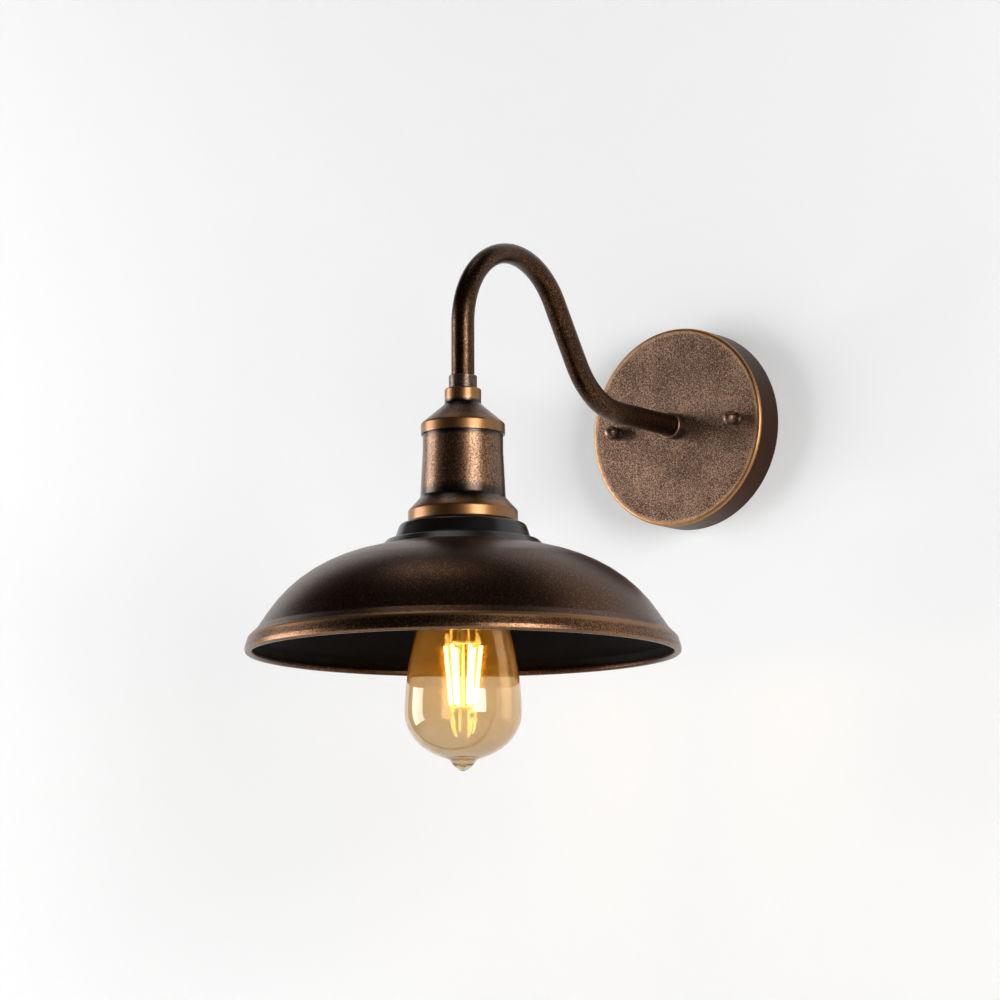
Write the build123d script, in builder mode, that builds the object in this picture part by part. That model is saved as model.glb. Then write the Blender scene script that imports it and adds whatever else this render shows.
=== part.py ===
from build123d import *
import math
import os

# Gooseneck wall sconce. The wall is the plane Y = 0, the room lies towards -Y and Z is up.
# The origin is the centre of the canopy on the wall, and the arm lies in the plane X = 0.

# Canopy and the bracket behind it
canopy_diameter = 120.0
canopy_depth = 20.0
canopy_wall = 1.2
canopy_edge_radius = 1.8
stud_spacing = 85.0
stud_diameter = 4.0
stud_past_canopy = 6.6
stud_thread_clearance = 0.05
stud_hole_clearance = 0.5
stud_nut_across_flats = 7.0
stud_nut_height = 2.4
bracket_length = 104.0
bracket_width = 22.0
bracket_thickness = 2.0
bracket_corner_radius = 6.0
supply_hole_diameter = 14.0
box_screw_spacing = 69.85
box_slot_width = 4.8
box_slot_length = 10.0
back_gap = 0.2

# Ball cap nuts
cap_nut_ball_radius = 4.3
cap_nut_ball_height = 6.2
cap_nut_neck_radius = 3.3
cap_nut_foot_radius = 4.1
cap_nut_foot_height = 1.2
cap_nut_bore_clearance = 0.3
cap_nut_seat_gap = 0.1
cap_nut_end_room = 0.8

# Gooseneck
arm_reach = 232.0
tube_diameter = 12.8
tube_wall = 1.3
rise_angle = 56.0
rise_bend_radius = 50.0
rise_length = 39.6
crook_bend_radius = 47.7
leg_length = 36.9
collar_radius = 8.0
collar_length = 8.0
collar_edge_radius = 0.8
ferrule_radius = 7.8
ferrule_height = 7.5
ferrule_edge_radius = 0.5
slip_clearance = 0.05

# Threaded nipples and what locks them
nipple_diameter = 10.0
nipple_bore_diameter = 7.0
nipple_in_tube = 14.0
nipple_hole_clearance = 0.2
nipple_past_nut = 1.2
lock_nut_across_flats = 14.0
lock_nut_height = 4.0
washer_radius = 7.4
washer_tooth_length = 1.6
washer_tooth_width = 1.4
washer_tooth_count = 12
washer_thickness = 1.0
bushing_wall = 0.45
bushing_length = 5.0
bushing_flange_radius = 4.8
bushing_flange_thickness = 1.0

# Wires
wire_diameter = 2.2
wire_pair_spacing = 3.2
wire_lane_clearance = 4.0
connector_tilt = 30.0
connector_start = 18.5
connector_length = 19.0
connector_mouth_radius = 5.2
connector_end_radius = 3.6
connector_wall = 1.0
connector_grip_depth = 11.0
connector_grip_clearance = 0.15

# Earthing: a tag under the arm's nut, a lug on the bracket and the lead between them
earth_tag_radius = 8.4
tag_thickness = 0.8
tag_barrel_radius = 1.9
tag_barrel_length = 5.0
tag_neck_width = 3.4
tag_neck_length = 1.6
ground_screw_offset = 13.0
ground_screw_diameter = 4.0
ground_screw_head_radius = 3.9
ground_screw_head_height = 2.4
ground_screw_slot_width = 1.0
ground_screw_slot_depth = 1.0
ground_lug_radius = 4.2
earth_wire_turn = 31.0

# Socket cup
neck_radius = 10.1
neck_height = 8.6
neck_edge_radius = 0.8
cone_height = 11.0
cone_root_radius = 3.0
bead_radius = 23.15
bead_height = 6.0
bead_edge_radius = 1.6
cup_wall = 1.2
sleeve_top_radius = 22.15
sleeve_waist_radius = 23.5
sleeve_straight = 9.0
sleeve_height = 49.7
sleeve_wall = 1.0
sleeve_bend_radius = 40.0
flare_height = 14.5
flare_radius = 30.2
flare_root_radius = 3.5
foot_height = 7.1
foot_edge_radius = 2.0
foot_lip_width = 2.0
spigot_height = 3.0
spigot_overlap = 1.5
spigot_clearance = 0.15

# Lampholder
skirt_radius = 19.6
skirt_wall = 2.3
skirt_depth = 20.0
skirt_shoulder_height = 14.0
skirt_lip_radius = 14.9
skirt_lip_thickness = 2.0
skirt_spigot_height = 4.0
skirt_spigot_root = 1.5
skirt_groove_radius = 0.45
skirt_groove_pitch = 2.2
skirt_groove_count = 5
flange_radius = 22.4
flange_thickness = 2.2
holder_fit = 0.2
holder_wall = 1.5
holder_side_height = 18.0
holder_shoulder_height = 8.0
boss_radius = 8.6
boss_height = 6.0
boss_floor = 1.5
set_screw_diameter = 3.0
set_screw_length = 4.6
insert_top_height = 18.0
insert_ceiling_height = 6.5
terminal_offset = 9.0
pillar_width = 6.4
pillar_height = 7.4
pillar_foot_thickness = 0.8
terminal_screw_diameter = 3.0
terminal_screw_length = 5.0
rivet_diameter = 2.4
shell_rivet_offset = 7.5
shade_ring_radius = 25.6
shade_ring_height = 6.0
shade_ring_notch_radius = 1.3
shade_ring_notch_count = 16

# Edison thread of the holder and the bulb
thread_pitch = 3.629
thread_turns = 4.0
cap_root_radius = 12.3
cap_thread_height = 0.8
cap_thread_bead = 0.7
shell_radius = 13.9
shell_wall = 0.5
shell_thread_height = 1.05
shell_thread_bead = 0.55
shell_flange_hole = 9.0
contact_gap = 0.2
contact_thickness = 0.5
contact_width = 5.0
contact_drop = 1.2
contact_base_radius = 4.5

# Shade
shade_wall = 1.0
shade_hole_clearance = 0.6
crown_radius = 34.6
crown_foot_radius = 37.5
crown_height = 8.8
crown_edge_radius = 3.0
step_radius = 42.0
step_foot_radius = 45.6
step_fall = 0.7
step_height = 3.8
step_edge_radius = 1.6
step_root_radius = 1.0
dome_height = 45.3
dome_shoulder_radius = 65.3
dome_shoulder_drop = 4.3
dome_shoulder_bend = 92.0
dome_flank_radius = 95.2
dome_flank_drop = 19.4
dome_flank_bend = 80.0
dome_foot_radius = 112.5
ridge_radius = 117.4
ridge_drop = 4.7
ridge_edge_radius = 1.3
ridge_root_radius = 0.8
rim_radius = 119.0
rim_height = 8.5
rim_roll_width = 3.9
rim_roll_height = 3.2
rim_roll_radius = 1.7

# Bulb
bulb_length = 140.0
bulb_radius = 32.0
bulb_widest_drop = 107.7
bulb_neck_radius = 13.1
bulb_upper_radius = 25.2
bulb_upper_drop = 62.5
bulb_lower_radius = 30.5
bulb_lower_drop = 88.0
bulb_bowl_height = 26.5
bowl_steps = 3
bulb_tip_radius = 2.2
bulb_tip_root_radius = 9.0
glass_wall = 0.8
glass_spigot_height = 6.0
cap_height = 26.0
cap_collar_height = 4.0
cap_collar_radius = 13.1
cap_wall = 0.5
cap_lip_width = 1.0
eyelet_radius = 4.8
eyelet_height = 1.1
eyelet_edge_radius = 0.4
insulator_gap = 0.05
insulator_top_radius = 5.6
insulator_height = 3.0
insulator_rim = 0.8
bulb_fit = 0.1
board_height = 13.0
board_thickness = 1.2
board_edge_room = 0.3
capacitor_radius = 3.2
capacitor_height = 8.0
stem_flare_height = 11.0
stem_radius = 3.0
stem_bore_radius = 1.8
stem_length = 49.0
stem_flare_thickness = 1.0
filament_count = 6
filament_radius = 0.95
filament_length = 32.5
filament_top_radius = 9.8
filament_bottom_radius = 6.6
filament_start = 1.8
filament_end_gap = 0.1
support_wire_radius = 0.35
support_rod_radius = 0.8

# Places worked out from the sizes above
canopy_radius = canopy_diameter / 2
canopy_inner_radius = canopy_radius - canopy_wall
stud_places = [(-stud_spacing / 2, 0), (stud_spacing / 2, 0)]
stud_radius = stud_diameter / 2
tube_radius = tube_diameter / 2
nipple_radius = nipple_diameter / 2
nipple_bore_radius = nipple_bore_diameter / 2
nipple_hole_radius = nipple_radius + nipple_hole_clearance
wire_radius = wire_diameter / 2
wire_offset = wire_pair_spacing / 2

washer_depth = canopy_depth - canopy_wall - washer_thickness
tag_depth = washer_depth - tag_thickness
nut_depth = tag_depth - lock_nut_height
nipple_depth = nut_depth - nipple_past_nut
bushing_depth = nipple_depth - bushing_flange_thickness

rise = math.radians(rise_angle)
rise_corner = rise_bend_radius * math.tan(rise / 2)
crook_corner = crook_bend_radius * math.tan((rise + math.pi / 2) / 2)
slope_length = rise_corner + rise_length + crook_corner
crook_reach = slope_length * math.cos(rise)
crook_height = slope_length * math.sin(rise)
bend_depth = arm_reach - crook_reach
tube_end = crook_height - crook_corner - leg_length

lamp_section = Plane.XZ.offset(arm_reach)
lamp_axis = Axis((0, -arm_reach, 0), (0, 0, 1))

cap_top = tube_end
neck_bottom = cap_top - neck_height
bead_top = neck_bottom - cone_height
cap_bottom = bead_top - bead_height
shade_top = cap_bottom - sleeve_height
skirt_shoulder = shade_top + skirt_shoulder_height
skirt_bottom = shade_top - skirt_depth
boss_bottom = skirt_shoulder + holder_side_height + holder_shoulder_height
boss_top = boss_bottom + boss_height
insert_top_level = shade_top + insert_top_height
insert_ceiling_level = shade_top + insert_ceiling_height
pillar_top_level = insert_top_level + pillar_height
crown_bottom = shade_top - crown_height
step_bottom = crown_bottom - step_fall - step_height
dome_bottom = step_bottom - dome_height
ridge_level = dome_bottom - ridge_drop
rim_bottom = ridge_level - rim_height

contact_level = insert_ceiling_level - contact_thickness - contact_drop
bulb_top = contact_level - contact_gap
insulator_level = bulb_top - eyelet_height - insulator_gap
cap_level = insulator_level - insulator_height + insulator_rim
cap_bottom_level = bulb_top - cap_height
bulb_tip = bulb_top - bulb_length

os.makedirs("parts", exist_ok=True)


def tube_path(offset, start_depth, end_level):
    """Corners of a run through the gooseneck, at X = offset, and their bend radii."""
    corners = [
        (offset, -start_depth, 0),
        (offset, -bend_depth, 0),
        (offset, -arm_reach, crook_height),
        (offset, -arm_reach, end_level),
    ]
    return corners, [rise_bend_radius, crook_bend_radius]


# Crossbar that lies on the wall, with slots for the wall box's screws
with BuildPart() as mounting_bracket:
    with BuildSketch(Plane.XZ):
        RectangleRounded(bracket_length, bracket_width, bracket_corner_radius)
        Circle(supply_hole_diameter / 2, mode=Mode.SUBTRACT)
        with Locations((-box_screw_spacing / 2, 0), (box_screw_spacing / 2, 0)):
            SlotOverall(box_slot_length, box_slot_width, mode=Mode.SUBTRACT)
        with Locations(*stud_places):
            Circle(stud_radius + stud_thread_clearance, mode=Mode.SUBTRACT)
        with Locations((-ground_screw_offset, 0)):
            Circle(ground_screw_diameter / 2 + stud_thread_clearance, mode=Mode.SUBTRACT)
    extrude(amount=bracket_thickness)
mounting_bracket.part.label = "mounting_bracket"
export_step(mounting_bracket.part, "parts/mounting_bracket.step")

# Threaded studs that the canopy goes over
with BuildPart() as canopy_studs:
    with BuildSketch(Plane.XZ.offset(back_gap)):
        with Locations(*stud_places):
            Circle(stud_radius)
    extrude(amount=canopy_depth + stud_past_canopy - back_gap)
canopy_studs.part.label = "canopy_studs"
export_step(canopy_studs.part, "parts/canopy_studs.step")

# Hex nuts that lock the studs to the bracket
with BuildPart() as stud_lock_nuts:
    with BuildSketch(Plane.XZ.offset(bracket_thickness)):
        with Locations(*stud_places):
            RegularPolygon(stud_nut_across_flats / 2, 6, major_radius=False)
            Circle(stud_radius + stud_thread_clearance, mode=Mode.SUBTRACT)
    extrude(amount=stud_nut_height)
stud_lock_nuts.part.label = "stud_lock_nuts"
export_step(stud_lock_nuts.part, "parts/stud_lock_nuts.step")

# Ring lug on the bracket, its barrel pointing away from the supply hole
lug_lane = bracket_thickness + tag_barrel_radius
lug_barrel_start = ground_screw_offset + ground_lug_radius + tag_neck_length
lug_neck_length = lug_barrel_start - ground_screw_offset + tag_neck_length
with BuildPart() as ground_lug:
    with BuildSketch(Plane.XZ.offset(bracket_thickness)):
        with Locations((-ground_screw_offset, 0)):
            Circle(ground_lug_radius)
            Rectangle(lug_neck_length, tag_neck_width, align=(Align.MAX, Align.CENTER))
            Circle(ground_screw_diameter / 2 + stud_thread_clearance, mode=Mode.SUBTRACT)
    extrude(amount=tag_thickness)
    with BuildSketch(Plane.YZ.offset(-lug_barrel_start)):
        with Locations((-lug_lane, 0)):
            Circle(tag_barrel_radius)
    extrude(amount=-tag_barrel_length)
    with BuildSketch(Plane.YZ.offset(-lug_barrel_start)):
        with Locations((-lug_lane, 0)):
            Circle(wire_radius + slip_clearance)
    extrude(amount=-tag_barrel_length, mode=Mode.SUBTRACT)
ground_lug.part.label = "ground_lug"
export_step(ground_lug.part, "parts/ground_lug.step")

# Slotted earthing screw
ground_head_level = bracket_thickness + tag_thickness
with BuildPart() as ground_screw:
    with BuildSketch(Plane.XZ.offset(back_gap)):
        with Locations((-ground_screw_offset, 0)):
            Circle(ground_screw_diameter / 2)
    extrude(amount=ground_head_level - back_gap)
    with BuildSketch(Plane.XZ.offset(ground_head_level)):
        with Locations((-ground_screw_offset, 0)):
            RegularPolygon(ground_screw_head_radius, 6)
    extrude(amount=ground_screw_head_height)
    with BuildSketch(Plane.XZ.offset(ground_head_level + ground_screw_head_height)):
        with Locations((-ground_screw_offset, 0)):
            Rectangle(2 * ground_screw_head_radius, ground_screw_slot_width)
    extrude(amount=-ground_screw_slot_depth, mode=Mode.SUBTRACT)
ground_screw.part.label = "ground_screw"
export_step(ground_screw.part, "parts/ground_screw.step")

# Spun drum canopy, open towards the wall
with BuildPart() as canopy:
    with BuildSketch(Plane.XY) as canopy_section:
        with BuildLine():
            Polyline(
                (canopy_inner_radius, 0),
                (canopy_radius, 0),
                (canopy_radius, -canopy_depth),
                (nipple_hole_radius, -canopy_depth),
                (nipple_hole_radius, canopy_wall - canopy_depth),
                (canopy_inner_radius, canopy_wall - canopy_depth),
                close=True,
            )
        make_face()
        corners = canopy_section.vertices()
        outer_corner = corners.sort_by_distance((canopy_radius, -canopy_depth))[0]
        inner_corner = corners.sort_by_distance((canopy_inner_radius, canopy_wall - canopy_depth))[0]
        fillet(outer_corner, canopy_edge_radius)
        fillet(inner_corner, max(canopy_edge_radius - canopy_wall, back_gap))
    revolve(axis=Axis.Y)
    with BuildSketch(Plane.XZ.offset(canopy_depth)):
        with Locations(*stud_places):
            Circle(stud_radius + stud_hole_clearance)
    extrude(amount=-canopy_wall, mode=Mode.SUBTRACT)
canopy.part.label = "canopy"
export_step(canopy.part, "parts/canopy.step")

# Ball cap nuts, one on each stud
nut_foot_level = canopy_depth + cap_nut_seat_gap
ball_centre = canopy_depth + cap_nut_ball_height
bore_end = canopy_depth + stud_past_canopy + cap_nut_end_room
nut_bore_radius = stud_radius + cap_nut_bore_clearance
below = (Align.CENTER, Align.MAX)
for side, name in ((-1, "cap_nut_left"), (1, "cap_nut_right")):
    with BuildPart() as cap_nut:
        with BuildSketch(Plane.XY):
            with Locations((0, -ball_centre)):
                Circle(cap_nut_ball_radius)
            with Locations((0, -nut_foot_level)):
                Rectangle(2 * cap_nut_foot_radius, cap_nut_foot_height, align=below)
                Rectangle(2 * cap_nut_neck_radius, ball_centre - nut_foot_level, align=below)
                Rectangle(2 * nut_bore_radius, bore_end - nut_foot_level, align=below, mode=Mode.SUBTRACT)
            split(bisect_by=Plane.YZ)
        revolve(axis=Axis.Y)
    nut_at_stud = cap_nut.part.moved(Location((side * stud_spacing / 2, 0, 0)))
    nut_at_stud.label = name
    export_step(nut_at_stud, f"parts/{name}.step")

# Gooseneck tube
with BuildPart() as arm_tube:
    with BuildLine() as arm_path:
        arm_corners, arm_radii = tube_path(0, canopy_depth, tube_end)
        FilletPolyline(*arm_corners, radius=arm_radii)
    with BuildSketch(Plane(arm_path.line @ 0, z_dir=arm_path.line % 0)) as tube_ring:
        Circle(tube_radius)
        Circle(tube_radius - tube_wall, mode=Mode.SUBTRACT)
    sweep(path=arm_path.line)
arm_tube.part.label = "arm_tube"
export_step(arm_tube.part, "parts/arm_tube.step")
tube_share = arm_tube.part.volume / (tube_ring.sketch.area * arm_path.wire().length)
print("tube volume over section times length", round(tube_share, 4))

# Collar that hides the joint of tube and canopy
with BuildPart() as arm_base_collar:
    with BuildSketch(Plane.XZ.offset(canopy_depth)):
        Circle(collar_radius)
        Circle(tube_radius + slip_clearance, mode=Mode.SUBTRACT)
    extrude(amount=collar_length)
    collar_rims = arm_base_collar.edges().filter_by(GeomType.CIRCLE).group_by(SortBy.RADIUS)[-1]
    fillet(collar_rims.sort_by(Axis.Y)[0], collar_edge_radius)
arm_base_collar.part.label = "arm_base_collar"
export_step(arm_base_collar.part, "parts/arm_base_collar.step")

# Threaded nipple that carries the arm on the canopy
with BuildPart() as arm_base_nipple:
    with BuildSketch(Plane.XZ.offset(nipple_depth)):
        Circle(nipple_radius)
        Circle(nipple_bore_radius, mode=Mode.SUBTRACT)
    extrude(amount=canopy_depth + nipple_in_tube - nipple_depth)
arm_base_nipple.part.label = "arm_base_nipple"
export_step(arm_base_nipple.part, "parts/arm_base_nipple.step")

# Toothed lock washer against the inside of the canopy
with BuildPart() as arm_lock_washer:
    with BuildSketch(Plane.XZ.offset(washer_depth)):
        Circle(washer_radius)
        with PolarLocations(washer_radius, washer_tooth_count):
            Rectangle(2 * washer_tooth_length, washer_tooth_width)
        Circle(nipple_hole_radius, mode=Mode.SUBTRACT)
    extrude(amount=washer_thickness)
arm_lock_washer.part.label = "arm_lock_washer"
export_step(arm_lock_washer.part, "parts/arm_lock_washer.step")

# Earthing tag clamped under the arm's nut
tag_lane = washer_depth - tag_barrel_radius
tag_barrel_start = earth_tag_radius + tag_neck_length
with BuildPart() as arm_earth_tag:
    with BuildSketch(Plane.XZ.offset(tag_depth)):
        Circle(earth_tag_radius)
        Rectangle(tag_barrel_start + tag_neck_length, tag_neck_width, align=(Align.MAX, Align.CENTER))
        Circle(nipple_hole_radius, mode=Mode.SUBTRACT)
    extrude(amount=tag_thickness)
    with BuildSketch(Plane.YZ.offset(-tag_barrel_start)):
        with Locations((-tag_lane, 0)):
            Circle(tag_barrel_radius)
    extrude(amount=-tag_barrel_length)
    with BuildSketch(Plane.YZ.offset(-tag_barrel_start)):
        with Locations((-tag_lane, 0)):
            Circle(wire_radius + slip_clearance)
    extrude(amount=-tag_barrel_length, mode=Mode.SUBTRACT)
arm_earth_tag.part.label = "arm_earth_tag"
export_step(arm_earth_tag.part, "parts/arm_earth_tag.step")

# Hex nut on the nipple inside the canopy
with BuildPart() as arm_lock_nut:
    with BuildSketch(Plane.XZ.offset(nut_depth)):
        RegularPolygon(lock_nut_across_flats / 2, 6, major_radius=False)
        Circle(nipple_radius + slip_clearance, mode=Mode.SUBTRACT)
    extrude(amount=lock_nut_height)
arm_lock_nut.part.label = "arm_lock_nut"
export_step(arm_lock_nut.part, "parts/arm_lock_nut.step")

# Flanged bushing that keeps the wires off the nipple's edge
with BuildPart() as wire_bushing:
    with BuildSketch(Plane.XZ.offset(bushing_depth)):
        Circle(bushing_flange_radius)
    extrude(amount=bushing_flange_thickness)
    with BuildSketch(Plane.XZ.offset(nipple_depth)):
        Circle(nipple_bore_radius - slip_clearance)
    extrude(amount=bushing_length)
    with BuildSketch(Plane.XZ.offset(bushing_depth)):
        Circle(nipple_bore_radius - slip_clearance - bushing_wall)
    extrude(amount=bushing_length + bushing_flange_thickness, mode=Mode.SUBTRACT)
wire_bushing.part.label = "wire_bushing"
export_step(wire_bushing.part, "parts/wire_bushing.step")

# Earth lead: out from the tag, round a half turn and back to the lug
earth_bend_radius = (tag_lane - lug_lane) / 2 - slip_clearance
with BuildPart() as earth_wire:
    with BuildLine() as earth_path:
        FilletPolyline(
            (-tag_barrel_start - tag_barrel_length / 2, -tag_lane, 0),
            (-earth_wire_turn, -tag_lane, 0),
            (-earth_wire_turn, -lug_lane, 0),
            (-lug_barrel_start - tag_barrel_length / 2, -lug_lane, 0),
            radius=earth_bend_radius,
        )
    with BuildSketch(Plane(earth_path.line @ 0, z_dir=earth_path.line % 0)):
        Circle(wire_radius)
    sweep(path=earth_path.line)
earth_wire.part.label = "earth_wire"
export_step(earth_wire.part, "parts/earth_wire.step")

# Supply leads: from the connectors in the canopy, through the arm, to the terminals
wire_lane = bracket_thickness + wire_lane_clearance
lane_bend_radius = bushing_depth - wire_lane
nipple_bottom = boss_bottom - boss_floor
wire_exit = nipple_bottom - bushing_flange_thickness
spread_height = wire_exit - pillar_top_level
spread_shift = terminal_offset - wire_offset
spread_turn = 2 * math.atan2(spread_shift, spread_height)
spread_radius = spread_height / (2 * math.sin(spread_turn))
spread_corner = spread_radius * math.tan(spread_turn / 2)
spread_bend_radius = spread_radius - wire_radius / 2
connector_grip = connector_start + connector_grip_depth
for side, name in ((-1, "live_wire"), (1, "neutral_wire")):
    lead_x = math.sin(math.radians(connector_tilt)) * side
    lead_z = math.cos(math.radians(connector_tilt))
    run_corners, run_radii = tube_path(side * wire_offset, wire_lane, wire_exit - spread_corner)
    lead_end = (side * wire_offset + connector_grip * lead_x, -wire_lane, connector_grip * lead_z)
    spread_end = (side * terminal_offset, -arm_reach, pillar_top_level + spread_corner)
    terminal_end = (side * terminal_offset, -arm_reach, pillar_top_level)
    with BuildPart() as supply_wire:
        with BuildLine() as wire_path:
            FilletPolyline(
                lead_end,
                *run_corners,
                spread_end,
                terminal_end,
                radius=[lane_bend_radius, *run_radii, spread_bend_radius, spread_bend_radius],
            )
        with BuildSketch(Plane(wire_path.line @ 0, z_dir=wire_path.line % 0)):
            Circle(wire_radius)
        sweep(path=wire_path.line)
    supply_wire.part.label = name
    export_step(supply_wire.part, f"parts/{name}.step")

# Twist-on connectors at the ends of the supply leads
with BuildPart() as wire_connectors:
    for side in (-1, 1):
        lead_x = math.sin(math.radians(connector_tilt)) * side
        lead_z = math.cos(math.radians(connector_tilt))
        mouth = (side * wire_offset + connector_start * lead_x, -wire_lane, connector_start * lead_z)
        with BuildSketch(Plane(mouth, x_dir=(0, -1, 0), z_dir=(-lead_z, 0, lead_x))):
            with BuildLine():
                Polyline(
                    (connector_mouth_radius - connector_wall, 0),
                    (connector_mouth_radius, 0),
                    (connector_end_radius, connector_length),
                    (0, connector_length),
                    (0, connector_grip_depth),
                    (wire_radius + connector_grip_clearance, connector_grip_depth),
                    close=True,
                )
            make_face()
        revolve(axis=Axis(mouth, (lead_x, 0, lead_z)))
wire_connectors.part.label = "wire_connectors"
export_step(wire_connectors.part, "parts/wire_connectors.step")

# Ferrule round the lower end of the tube
with BuildPart() as arm_end_ferrule:
    with BuildSketch(Plane((0, -arm_reach, tube_end))):
        Circle(ferrule_radius)
        Circle(tube_radius + slip_clearance, mode=Mode.SUBTRACT)
    extrude(amount=ferrule_height)
    ferrule_rims = arm_end_ferrule.edges().filter_by(GeomType.CIRCLE).group_by(SortBy.RADIUS)[-1]
    fillet(ferrule_rims, ferrule_edge_radius)
arm_end_ferrule.part.label = "arm_end_ferrule"
export_step(arm_end_ferrule.part, "parts/arm_end_ferrule.step")

# Threaded nipple from the tube's end through the cup into the lampholder
with BuildPart() as cup_nipple:
    with BuildSketch(Plane((0, -arm_reach, nipple_bottom))):
        Circle(nipple_radius)
        Circle(nipple_bore_radius, mode=Mode.SUBTRACT)
    extrude(amount=tube_end + nipple_in_tube - nipple_bottom)
cup_nipple.part.label = "cup_nipple"
export_step(cup_nipple.part, "parts/cup_nipple.step")

# Bushing in the lower mouth of that nipple
with BuildPart() as nipple_bushing:
    with BuildSketch(Plane((0, -arm_reach, wire_exit))):
        Circle(bushing_flange_radius)
    extrude(amount=bushing_flange_thickness)
    with BuildSketch(Plane((0, -arm_reach, nipple_bottom))):
        Circle(nipple_bore_radius - slip_clearance)
    extrude(amount=bushing_length)
    with BuildSketch(Plane((0, -arm_reach, wire_exit))):
        Circle(nipple_bore_radius - slip_clearance - bushing_wall)
    extrude(amount=bushing_length + bushing_flange_thickness, mode=Mode.SUBTRACT)
nipple_bushing.part.label = "nipple_bushing"
export_step(nipple_bushing.part, "parts/nipple_bushing.step")

# Upper half of the cup: neck, cone and bead
with BuildPart() as socket_cap:
    with BuildSketch(lamp_section):
        with BuildLine():
            FilletPolyline(
                (nipple_hole_radius, cap_top),
                (neck_radius, cap_top),
                (neck_radius, neck_bottom),
                (bead_radius, bead_top),
                (bead_radius, cap_bottom),
                radius=[neck_edge_radius, cone_root_radius, bead_edge_radius],
            )
            offset(amount=cup_wall, side=Side.RIGHT)
        make_face()
    revolve(axis=lamp_axis)
socket_cap.part.label = "socket_cap"
export_step(socket_cap.part, "parts/socket_cap.step")

# Hex nut that holds the cap on the nipple
with BuildPart() as cap_lock_nut:
    with BuildSketch(Plane((0, -arm_reach, cap_top - cup_wall))):
        RegularPolygon(lock_nut_across_flats / 2, 6, major_radius=False)
        Circle(nipple_radius + slip_clearance, mode=Mode.SUBTRACT)
    extrude(amount=-lock_nut_height)
cap_lock_nut.part.label = "cap_lock_nut"
export_step(cap_lock_nut.part, "parts/cap_lock_nut.step")

# Lower half of the cup: body, flare and foot bead, with a spigot into the cap
spigot_radius = bead_radius - cup_wall - spigot_clearance
with BuildPart() as socket_sleeve:
    with BuildSketch(lamp_section):
        with BuildLine():
            FilletPolyline(
                (sleeve_top_radius, cap_bottom),
                (sleeve_top_radius, cap_bottom - sleeve_straight),
                (sleeve_waist_radius, shade_top + flare_height),
                (flare_radius, shade_top + foot_height),
                (flare_radius, shade_top),
                (flare_radius - foot_edge_radius - foot_lip_width, shade_top),
                radius=[sleeve_bend_radius, flare_root_radius, foot_edge_radius, foot_edge_radius],
            )
            offset(amount=sleeve_wall, side=Side.RIGHT)
        make_face()
        with Locations((spigot_radius, cap_bottom - spigot_overlap)):
            Rectangle(sleeve_wall, spigot_height + spigot_overlap, align=(Align.MAX, Align.MIN))
    revolve(axis=lamp_axis)
socket_sleeve.part.label = "socket_sleeve"
export_step(socket_sleeve.part, "parts/socket_sleeve.step")

# Spun shade: crown, step, dome, ridge and rolled rim
with BuildPart() as shade:
    with BuildSketch(lamp_section):
        with BuildLine():
            FilletPolyline(
                (skirt_radius + shade_hole_clearance, shade_top),
                (crown_radius, shade_top),
                (crown_foot_radius, crown_bottom),
                (step_radius, crown_bottom - step_fall),
                (step_foot_radius, step_bottom),
                (dome_shoulder_radius, step_bottom - dome_shoulder_drop),
                (dome_flank_radius, step_bottom - dome_flank_drop),
                (dome_foot_radius, dome_bottom),
                (ridge_radius, ridge_level),
                (rim_radius, rim_bottom + rim_roll_height),
                (rim_radius, rim_bottom),
                (rim_radius - rim_roll_width, rim_bottom),
                (rim_radius - rim_roll_width, rim_bottom + rim_roll_height),
                radius=[
                    crown_edge_radius,
                    step_root_radius,
                    step_edge_radius,
                    step_root_radius,
                    dome_shoulder_bend,
                    dome_flank_bend,
                    ridge_root_radius,
                    ridge_edge_radius,
                    ridge_edge_radius,
                    rim_roll_radius,
                    rim_roll_radius,
                ],
            )
            offset(amount=shade_wall, side=Side.RIGHT)
        make_face()
    revolve(axis=lamp_axis)
shade.part.label = "shade"
export_step(shade.part, "parts/shade.step")

# Dome of the lampholder, on the nipple's lower end
holder_radius = skirt_radius + holder_fit
holder_inner_radius = holder_radius - holder_wall
holder_shoulder = skirt_shoulder + holder_side_height
boss_middle = (0, -arm_reach, boss_top - boss_height / 2)
set_screw_plane = Plane(boss_middle, x_dir=(0, 1, 0), z_dir=(1, 0, 0))
with BuildPart() as holder_dome:
    with BuildSketch(lamp_section):
        with BuildLine():
            Polyline(
                (nipple_radius + slip_clearance, boss_top),
                (boss_radius, boss_top),
                (boss_radius, boss_bottom),
                (holder_radius, holder_shoulder),
                (holder_radius, skirt_shoulder),
                (holder_inner_radius, skirt_shoulder),
                (holder_inner_radius, holder_shoulder - holder_wall),
                (boss_radius, nipple_bottom),
                (nipple_radius + slip_clearance, nipple_bottom),
                close=True,
            )
        make_face()
    revolve(axis=lamp_axis)
    with BuildSketch(set_screw_plane):
        Circle(set_screw_diameter / 2 + slip_clearance)
    extrude(amount=2 * boss_radius, mode=Mode.SUBTRACT)
holder_dome.part.label = "holder_dome"
export_step(holder_dome.part, "parts/holder_dome.step")

# Set screw that keeps the dome from turning on the nipple
with BuildPart() as holder_set_screw:
    with BuildSketch(set_screw_plane.offset(nipple_radius + slip_clearance)):
        Circle(set_screw_diameter / 2)
    extrude(amount=set_screw_length)
holder_set_screw.part.label = "holder_set_screw"
export_step(holder_set_screw.part, "parts/holder_set_screw.step")

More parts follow.
